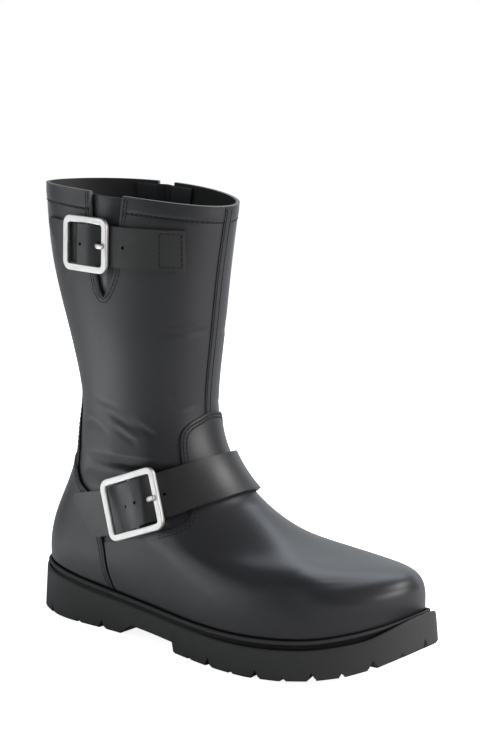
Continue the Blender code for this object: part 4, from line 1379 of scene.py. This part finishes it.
def stitch_tree():
    """Geometry nodes that lay thread stitches along lines, upright on the leather, and a near-black tube
    under each row as painted shade of the needle groove.
    """
    tree, source, result = new_group(
        "stitch_rows", "GeometryNodeTree",
        (("Geometry", "NodeSocketGeometry", None), ("Pitch", "NodeSocketFloat", 0.003),
         ("Length", "NodeSocketFloat", 0.0023), ("Thickness", "NodeSocketFloat", 0.0007),
         ("Groove", "NodeSocketFloat", 0.0004), ("Thread", "NodeSocketMaterial", None),
         ("Groove Shade", "NodeSocketMaterial", None)),
        (("Geometry", "NodeSocketGeometry"),))
    line = add_node(tree, "GeometryNodeMeshToCurve")
    even = add_node(tree, "GeometryNodeResampleCurve", mode="LENGTH")
    tangent = add_node(tree, "GeometryNodeInputTangent")
    upright = add_node(tree, "GeometryNodeInputNamedAttribute", {"Name": "up"}, data_type="FLOAT_VECTOR")
    ahead = add_node(tree, "FunctionNodeAlignRotationToVector", axis="X")
    level = add_node(tree, "FunctionNodeAlignRotationToVector", axis="Z", pivot_axis="X")
    bead = add_node(tree, "GeometryNodeMeshUVSphere", {"Segments": 6, "Rings": 5, "Radius": 0.5})
    size = add_node(tree, "ShaderNodeCombineXYZ")
    shape = add_node(tree, "GeometryNodeTransform")
    place = add_node(tree, "GeometryNodeInstanceOnPoints")
    real = add_node(tree, "GeometryNodeRealizeInstances")
    soft = add_node(tree, "GeometryNodeSetShadeSmooth")
    paint = add_node(tree, "GeometryNodeSetMaterial")
    sink = add_node(tree, "ShaderNodeMath", {1: -GROOVE_SINK}, operation="MULTIPLY")
    down = add_node(tree, "ShaderNodeVectorMath", operation="SCALE")
    lower = add_node(tree, "GeometryNodeSetPosition")
    # The groove is a near-black tube: painted shade along the row
    round_edge = add_node(tree, "GeometryNodeCurvePrimitiveCircle", {"Resolution": 6})
    groove = add_node(tree, "GeometryNodeCurveToMesh", {"Fill Caps": True})
    shade = add_node(tree, "GeometryNodeSetMaterial")
    join = add_node(tree, "GeometryNodeJoinGeometry")
    wire(tree, (
        (source, "Geometry", line, 0),
        (line, 0, even, "Curve"),
        (source, "Pitch", even, "Length"),
        (tangent, 0, ahead, "Vector"),
        (ahead, 0, level, "Rotation"),
        (upright, 0, level, "Vector"),
        (source, "Length", size, "X"),
        (source, "Thickness", size, "Y"),
        (source, "Thickness", size, "Z"),
        (bead, "Mesh", shape, "Geometry"),
        (size, 0, shape, "Scale"),
        (even, 0, place, "Points"),
        (shape, 0, place, "Instance"),
        (level, 0, place, "Rotation"),
        (place, 0, real, 0),
        (real, 0, soft, 0),
        (soft, 0, paint, "Geometry"),
        (source, "Thread", paint, "Material"),
        (source, "Groove", sink, 0),
        (upright, 0, down, 0),
        (sink, 0, down, "Scale"),
        (even, 0, lower, "Geometry"),
        (down, 0, lower, "Offset"),
        (source, "Groove", round_edge, "Radius"),
        (lower, 0, groove, "Curve"),
        (round_edge, 0, groove, "Profile Curve"),
        (groove, 0, shade, "Geometry"),
        (source, "Groove Shade", shade, "Material"),
        (paint, 0, join, 0),
        (shade, 0, join, 0),
        (join, 0, result, 0),
    ))
    return tree


def set_input(modifier, name, value):
    """Set a node modifier's input by the identifier of its named socket."""
    for item in modifier.node_group.interface.items_tree:
        if item.name == name and item.in_out == "INPUT":
            modifier[item.identifier] = value
            return
    raise ValueError(f"no input named {name}")


def on_upper(levels, turns, lift):
    """A stitch line on the upper: its points and the outward directions."""
    return upper_point(levels, turns, lift), upper_slopes(levels, turns)[2]


def overlay_lines():
    """Stitch lines inside the edges of the overlays and up the front seam."""
    lines = []
    turns, levels = vamp_curve(160)
    shown = np.degrees(turns) < VAMP_ROW_END
    turns = turns[shown]
    levels = levels[shown]
    for inset in STITCH_INSETS:
        lines.append(on_upper(*shifted(levels, turns, inset), VAMP_LIFT + THREAD_LIFT))
    top_turns, top_levels = edge_curve(COUNTER_EDGE, 70)
    front_levels = np.linspace(OVERLAY_LOW + 0.15, COUNTER_EDGE[0][1], 50)[:-1]
    front_turns = top_turns[0] - seam_lean(front_levels)
    turns = np.concatenate([front_turns, top_turns, 2.0 * np.pi - top_turns[-2::-1],
                            2.0 * np.pi - front_turns[::-1]])
    levels = np.concatenate([front_levels, top_levels, top_levels[-2::-1], front_levels[::-1]])
    for inset in STITCH_INSETS:
        lines.append(on_upper(*shifted(levels, turns, inset), COUNTER_LIFT + THREAD_LIFT))
    stay_levels = np.linspace(BACKSTAY[0][0] - 0.4, COLLAR - 0.05, 90)
    half = np.radians(stay_half(stay_levels))
    for side in (-1.0, 1.0):
        for inset in STITCH_INSETS:
            place = shifted(stay_levels, np.pi + side * half, -side * inset)
            lines.append(on_upper(*place, STAY_LIFT + THREAD_LIFT))
    seam_levels = np.linspace(FRONT_SEAM_LEVELS[0] + 0.05, FRONT_SEAM_LEVELS[1] - 0.02, 90)
    for side in (-1.0, 1.0):
        turns = np.full(len(seam_levels), side * math.radians(FRONT_SEAM_HALF * 0.62))
        lines.append(on_upper(seam_levels, turns, SEAM_LIFT + THREAD_LIFT))
    return lines


def shaft_lines():
    """Stitch lines below the collar and round the slits."""
    lines = []
    gap = math.radians(BACKSTAY[-1][1] + 1.0)
    seam = math.radians(FRONT_SEAM_HALF + 1.0)
    for side in (-1.0, 1.0):
        back, front = slit_turns(COLLAR_ROW[2][1], side)
        for start, end in ((seam, math.radians(front - 3.0)), (math.radians(back + 3.0), np.pi - gap)):
            turns = np.linspace(start, end, 80)
            levels = lookup(COLLAR_ROW, np.degrees(turns))
            lines.append(on_upper(levels, side * turns, THREAD_LIFT))
        rows = np.linspace(COLLAR - 0.03, SLIT_TIP, 60)
        turns = np.concatenate([slit_turns(rows, side)[0], slit_turns(rows[::-1], side)[1]])
        levels = np.concatenate([rows, rows[::-1]])
        turns = np.radians(turns) * side
        for inset in STITCH_INSETS:
            place = shifted(levels, turns, -side * inset)
            lines.append(on_upper(*place, THREAD_LIFT + np.maximum(collar_seam(*place), 0.0)))
    return lines


def strap_lines(strap):
    """The stitched box at the front end of the collar strap."""
    runs = strap.runs(0.0)
    near = np.interp(math.radians(strap.sizes["front"]), strap.turns, runs) + STITCH_BOX_INSET
    far = np.interp(math.radians(STITCH_BOX_END), strap.turns, runs)
    half = strap.sizes["width"] / 2.0 - STITCH_BOX_INSET
    corners = ((near, -half), (far, -half), (far, half), (near, half), (near, -half))
    lines = []
    for (run_a, side_a), (run_b, side_b) in zip(corners[:-1], corners[1:]):
        spots = []
        for share in np.linspace(0.0, 1.0, 14):
            run = run_a + (run_b - run_a) * share
            spots.append(strap.surface(side_a + (side_b - side_a) * share, run)[0])
        turn = math.radians((strap.sizes["front"] + STITCH_BOX_END) / 2.0)
        level = strap.level_at(0.0, np.array([turn]))
        out = upper_slopes(level, np.array([turn]))[2]
        lines.append((np.array(spots), np.repeat(out, len(spots), axis=0)))
    return lines


def build_stitches(name, lines):
    """One mesh of thread stitches along several lines."""
    sizes = bpy.context.scene.boot_sizes
    points = np.concatenate([line for line, _ in lines])
    ups = np.concatenate([up for _, up in lines])
    edges = []
    start = 0
    for line, _ in lines:
        edges += [(start + place, start + place + 1) for place in range(len(line) - 1)]
        start += len(line)
    mesh = bpy.data.meshes.new(name)
    mesh.from_pydata([tuple(point) for point in to_world(points)], edges, [])
    attribute = mesh.attributes.new("up", "FLOAT_VECTOR", "POINT")
    attribute.data.foreach_set("vector", np.asarray(ups, np.float32).ravel())
    piece = bpy.data.objects.new(name, mesh)
    bpy.context.scene.collection.objects.link(piece)
    rows = piece.modifiers.new("Stitches", "NODES")
    rows.node_group = bpy.data.node_groups.get("stitch_rows") or stitch_tree()
    set_input(rows, "Pitch", sizes.stitch_pitch * MM)
    set_input(rows, "Length", sizes.stitch_length * MM)
    set_input(rows, "Thickness", sizes.thread_thick * MM)
    set_input(rows, "Groove", sizes.groove_radius * MM)
    set_input(rows, "Thread", surface("thread"))
    # The groove's near-black material is painted shade
    set_input(rows, "Groove Shade", surface("needle_groove"))
    bake_modifiers(piece)
    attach(piece, "root")
    return piece


def area_light(name, place, target, wide, tall, power, spread, colour):
    """A soft box of light, aimed at a point."""
    lamp = bpy.data.lights.new(name, "AREA")
    lamp.shape = "RECTANGLE"
    lamp.size = wide
    lamp.size_y = tall
    lamp.energy = power
    lamp.color = colour
    lamp.spread = math.radians(spread)
    light = bpy.data.objects.new(name, lamp)
    light.location = place
    light.rotation_euler = (Vector(target) - Vector(place)).to_track_quat("-Z", "Y").to_euler()
    bpy.context.scene.collection.objects.link(light)
    return light


def build_floor():
    """A wide pale floor, brightest for the camera, so that it runs into the white behind it."""
    mesh = bpy.data.meshes.new("floor")
    reach = 12.0
    corners = ((-reach, -reach, 0.0), (reach, -reach, 0.0), (reach, reach, 0.0), (-reach, reach, 0.0))
    mesh.from_pydata(corners, [], [(0, 1, 2, 3)])
    floor = bpy.data.objects.new("floor", mesh)
    bpy.context.scene.collection.objects.link(floor)
    material, tree, shader = new_surface("pale_floor", (0.92, 0.92, 0.92), 0.9)
    shader.inputs["Specular IOR Level"].default_value = 0.0
    path = add_node(tree, "ShaderNodeLightPath")
    tone = add_node(tree, "ShaderNodeMix", data_type="RGBA")
    tone.inputs[6].default_value = (0.80, 0.80, 0.80, 1.0)
    tone.inputs[7].default_value = (0.92, 0.92, 0.92, 1.0)
    glow = add_node(tree, "ShaderNodeMath", {1: 0.90}, operation="MULTIPLY")
    wire(tree, (
        (path, "Is Camera Ray", tone, 0),
        (path, "Is Camera Ray", glow, 0),
        (tone, 2, shader, "Base Color"),
        (glow, 0, shader, "Emission Strength"),
    ))
    shader.inputs["Emission Color"].default_value = (1.0, 1.0, 1.0, 1.0)
    material.cycles.emission_sampling = "NONE"
    mesh.materials.append(material)
    return floor


def build_world():
    """White surroundings for the camera, and a dim room for everything else."""
    world = bpy.data.worlds.new("studio")
    world.use_nodes = True
    tree = world.node_tree
    tree.nodes.clear()
    path = add_node(tree, "ShaderNodeLightPath")
    white = add_node(tree, "ShaderNodeBackground", {"Color": (1.0, 1.0, 1.0, 1.0), "Strength": 1.0})
    room = add_node(tree, "ShaderNodeBackground", {"Color": (0.93, 0.97, 1.0, 1.0), "Strength": 0.13})
    mix = add_node(tree, "ShaderNodeMixShader")
    out = add_node(tree, "ShaderNodeOutputWorld")
    wire(tree, (
        (path, "Is Camera Ray", mix, 0),
        (room, 0, mix, 1),
        (white, 0, mix, 2),
        (mix, 0, out, "Surface"),
    ))
    bpy.context.scene.world = world


def build_camera():
    """The camera at the photograph's angle."""
    view = bpy.context.scene.boot_view
    data = bpy.data.cameras.new("camera")
    data.lens = view.lens
    data.sensor_width = 36.0
    camera = bpy.data.objects.new("camera", data)
    camera.location = view.place
    aim = Vector(view.aim) - Vector(view.place)
    camera.rotation_euler = aim.to_track_quat("-Z", "Y").to_euler()
    bpy.context.scene.collection.objects.link(camera)
    bpy.context.scene.camera = camera


def colour_setting(name, description, default):
    """A colour shown in the panel."""
    return FloatVectorProperty(name=name, description=description, subtype="COLOR", default=default)


def size_setting(name, description, default):
    """A size in millimetres shown in the panel."""
    return FloatProperty(name=name, description=f"{description} in mm", default=default)


class BootSizes(bpy.types.PropertyGroup):
    """Sizes of the stitching."""

    stitch_pitch: size_setting("Stitch pitch", "Distance between stitches", 3.0)
    stitch_length: size_setting("Stitch length", "Length of a stitch", 2.3)
    groove_radius: size_setting("Groove", "Radius of the needle groove", 1.1)
    thread_thick: size_setting("Thread", "Thickness of the thread", 0.6)


class BootColours(bpy.types.PropertyGroup):
    """Colours of the boot's materials."""

    leather: colour_setting("Leather", "Hide of the upper", (0.017, 0.0171, 0.0175))
    strap: colour_setting("Straps", "Hide of the straps", (0.0135, 0.0136, 0.014))
    lining: colour_setting("Lining", "Inside of the shaft", (0.012, 0.0115, 0.011))
    # Lighter cut edge: partly its own tone, partly a painted highlight
    edge: colour_setting("Cut edge", "Cut edge of the hide at the collar", (0.09, 0.092, 0.095))
    rubber: colour_setting("Rubber", "Sole and welt", (0.073, 0.0715, 0.066))
    # Painted shade in the channel and the recess under the bead
    channel: colour_setting("Channel", "Rubber between sole and welt", (0.006, 0.006, 0.006))
    nickel: colour_setting("Nickel", "Buckles and prongs", (0.35, 0.348, 0.343))
    thread: colour_setting("Thread", "Stitches", (0.018, 0.018, 0.018))
    # Painted shade along the stitch rows, in the needle groove
    groove: colour_setting("Needle groove", "Leather pulled in along a row", (0.0015, 0.0015, 0.0015))


class BootView(bpy.types.PropertyGroup):
    """Place of the camera."""

    place: FloatVectorProperty(name="Camera", description="Place of the camera", subtype="TRANSLATION",
                               unit="LENGTH", default=(0.739, -0.881, 0.372))
    aim: FloatVectorProperty(name="Aim", description="Point in the middle of the picture",
                             subtype="TRANSLATION", unit="LENGTH", default=(0.0066, 0.0055, 0.170))
    lens: FloatProperty(name="Lens", description="Focal length in mm", default=93.4)


class BOOT_OT_upper(bpy.types.Operator):
    """Make the creased leather shell with its lining"""

    bl_idname = "boot.upper"
    bl_label = "Upper"

    def execute(self, context):
        build_upper()
        return {"FINISHED"}


class BOOT_OT_overlays(bpy.types.Operator):
    """Make the vamp, counter, backstay and front seam"""

    bl_idname = "boot.overlays"
    bl_label = "Overlays"

    def execute(self, context):
        build_vamp()
        build_counter()
        build_backstay()
        build_front_seam()
        return {"FINISHED"}


class BOOT_OT_gussets(bpy.types.Operator):
    """Make the soft leather behind both slits"""

    bl_idname = "boot.gussets"
    bl_label = "Gussets"

    def execute(self, context):
        build_gusset("gusset_outer", 1.0)
        build_gusset("gusset_inner", -1.0)
        return {"FINISHED"}


class BOOT_OT_straps(bpy.types.Operator):
    """Make the two straps with their buckles and prongs"""

    bl_idname = "boot.straps"
    bl_label = "Straps and buckles"

    def execute(self, context):
        for name in STRAPS:
            strap = Strap(name)
            build_strap(strap)
            build_buckle(strap)
            build_prong(strap)
        return {"FINISHED"}


class BOOT_OT_sole(bpy.types.Operator):
    """Make the lugged sole, the welt and the insole"""

    bl_idname = "boot.sole"
    bl_label = "Sole"

    def execute(self, context):
        build_outsole()
        build_welt()
        build_insole()
        return {"FINISHED"}


class BOOT_OT_stitches(bpy.types.Operator):
    """Sew the stitch rows"""

    bl_idname = "boot.stitches"
    bl_label = "Stitches"

    def execute(self, context):
        build_stitches("overlay_stitches", overlay_lines())
        build_stitches("shaft_stitches", shaft_lines())
        build_stitches("strap_stitches", strap_lines(Strap("upper")))
        return {"FINISHED"}


class BOOT_OT_stage(bpy.types.Operator):
    """Set up the floor, the light and the camera"""

    bl_idname = "boot.stage"
    bl_label = "Stage"

    def execute(self, context):
        build_floor()
        build_world()
        for box in SOFT_BOXES:
            area_light(*box)
        build_camera()
        context.scene.view_settings.view_transform = "Standard"
        return {"FINISHED"}


OPERATORS = (BOOT_OT_upper, BOOT_OT_overlays, BOOT_OT_gussets, BOOT_OT_straps, BOOT_OT_sole,
             BOOT_OT_stitches, BOOT_OT_stage)


class BOOT_PT_panel(bpy.types.Panel):
    """Sizes, colours and steps of the boot"""

    bl_label = "Buckle boot"
    bl_space_type = "VIEW_3D"
    bl_region_type = "UI"
    bl_category = "Boot"

    def draw(self, context):
        layout = self.layout
        for group in ("boot_sizes", "boot_colours", "boot_view"):
            values = getattr(context.scene, group)
            for name in values.bl_rna.properties.keys():
                if name not in ("rna_type", "name"):
                    layout.prop(values, name)
        for operator in OPERATORS:
            layout.operator(operator.bl_idname)


GROUPS = {"boot_sizes": BootSizes, "boot_colours": BootColours, "boot_view": BootView}


def register():
    """Register the classes and hang the settings on the scene."""
    for group in GROUPS.values():
        bpy.utils.register_class(group)
    for operator in OPERATORS:
        bpy.utils.register_class(operator)
    bpy.utils.register_class(BOOT_PT_panel)
    for name, group in GROUPS.items():
        setattr(bpy.types.Scene, name, PointerProperty(type=group))


def unregister():
    """Take the settings and the classes away again."""
    for name in GROUPS:
        delattr(bpy.types.Scene, name)
    bpy.utils.unregister_class(BOOT_PT_panel)
    for operator in reversed(OPERATORS):
        bpy.utils.unregister_class(operator)
    for group in reversed(GROUPS.values()):
        bpy.utils.unregister_class(group)


def main():
    """Dress the boot step by step."""
    register()
    bpy.ops.boot.upper()
    bpy.ops.boot.overlays()
    bpy.ops.boot.gussets()
    bpy.ops.boot.straps()
    bpy.ops.boot.sole()
    bpy.ops.boot.stitches()
    bpy.ops.boot.stage()


if __name__ == "__main__":
    main()
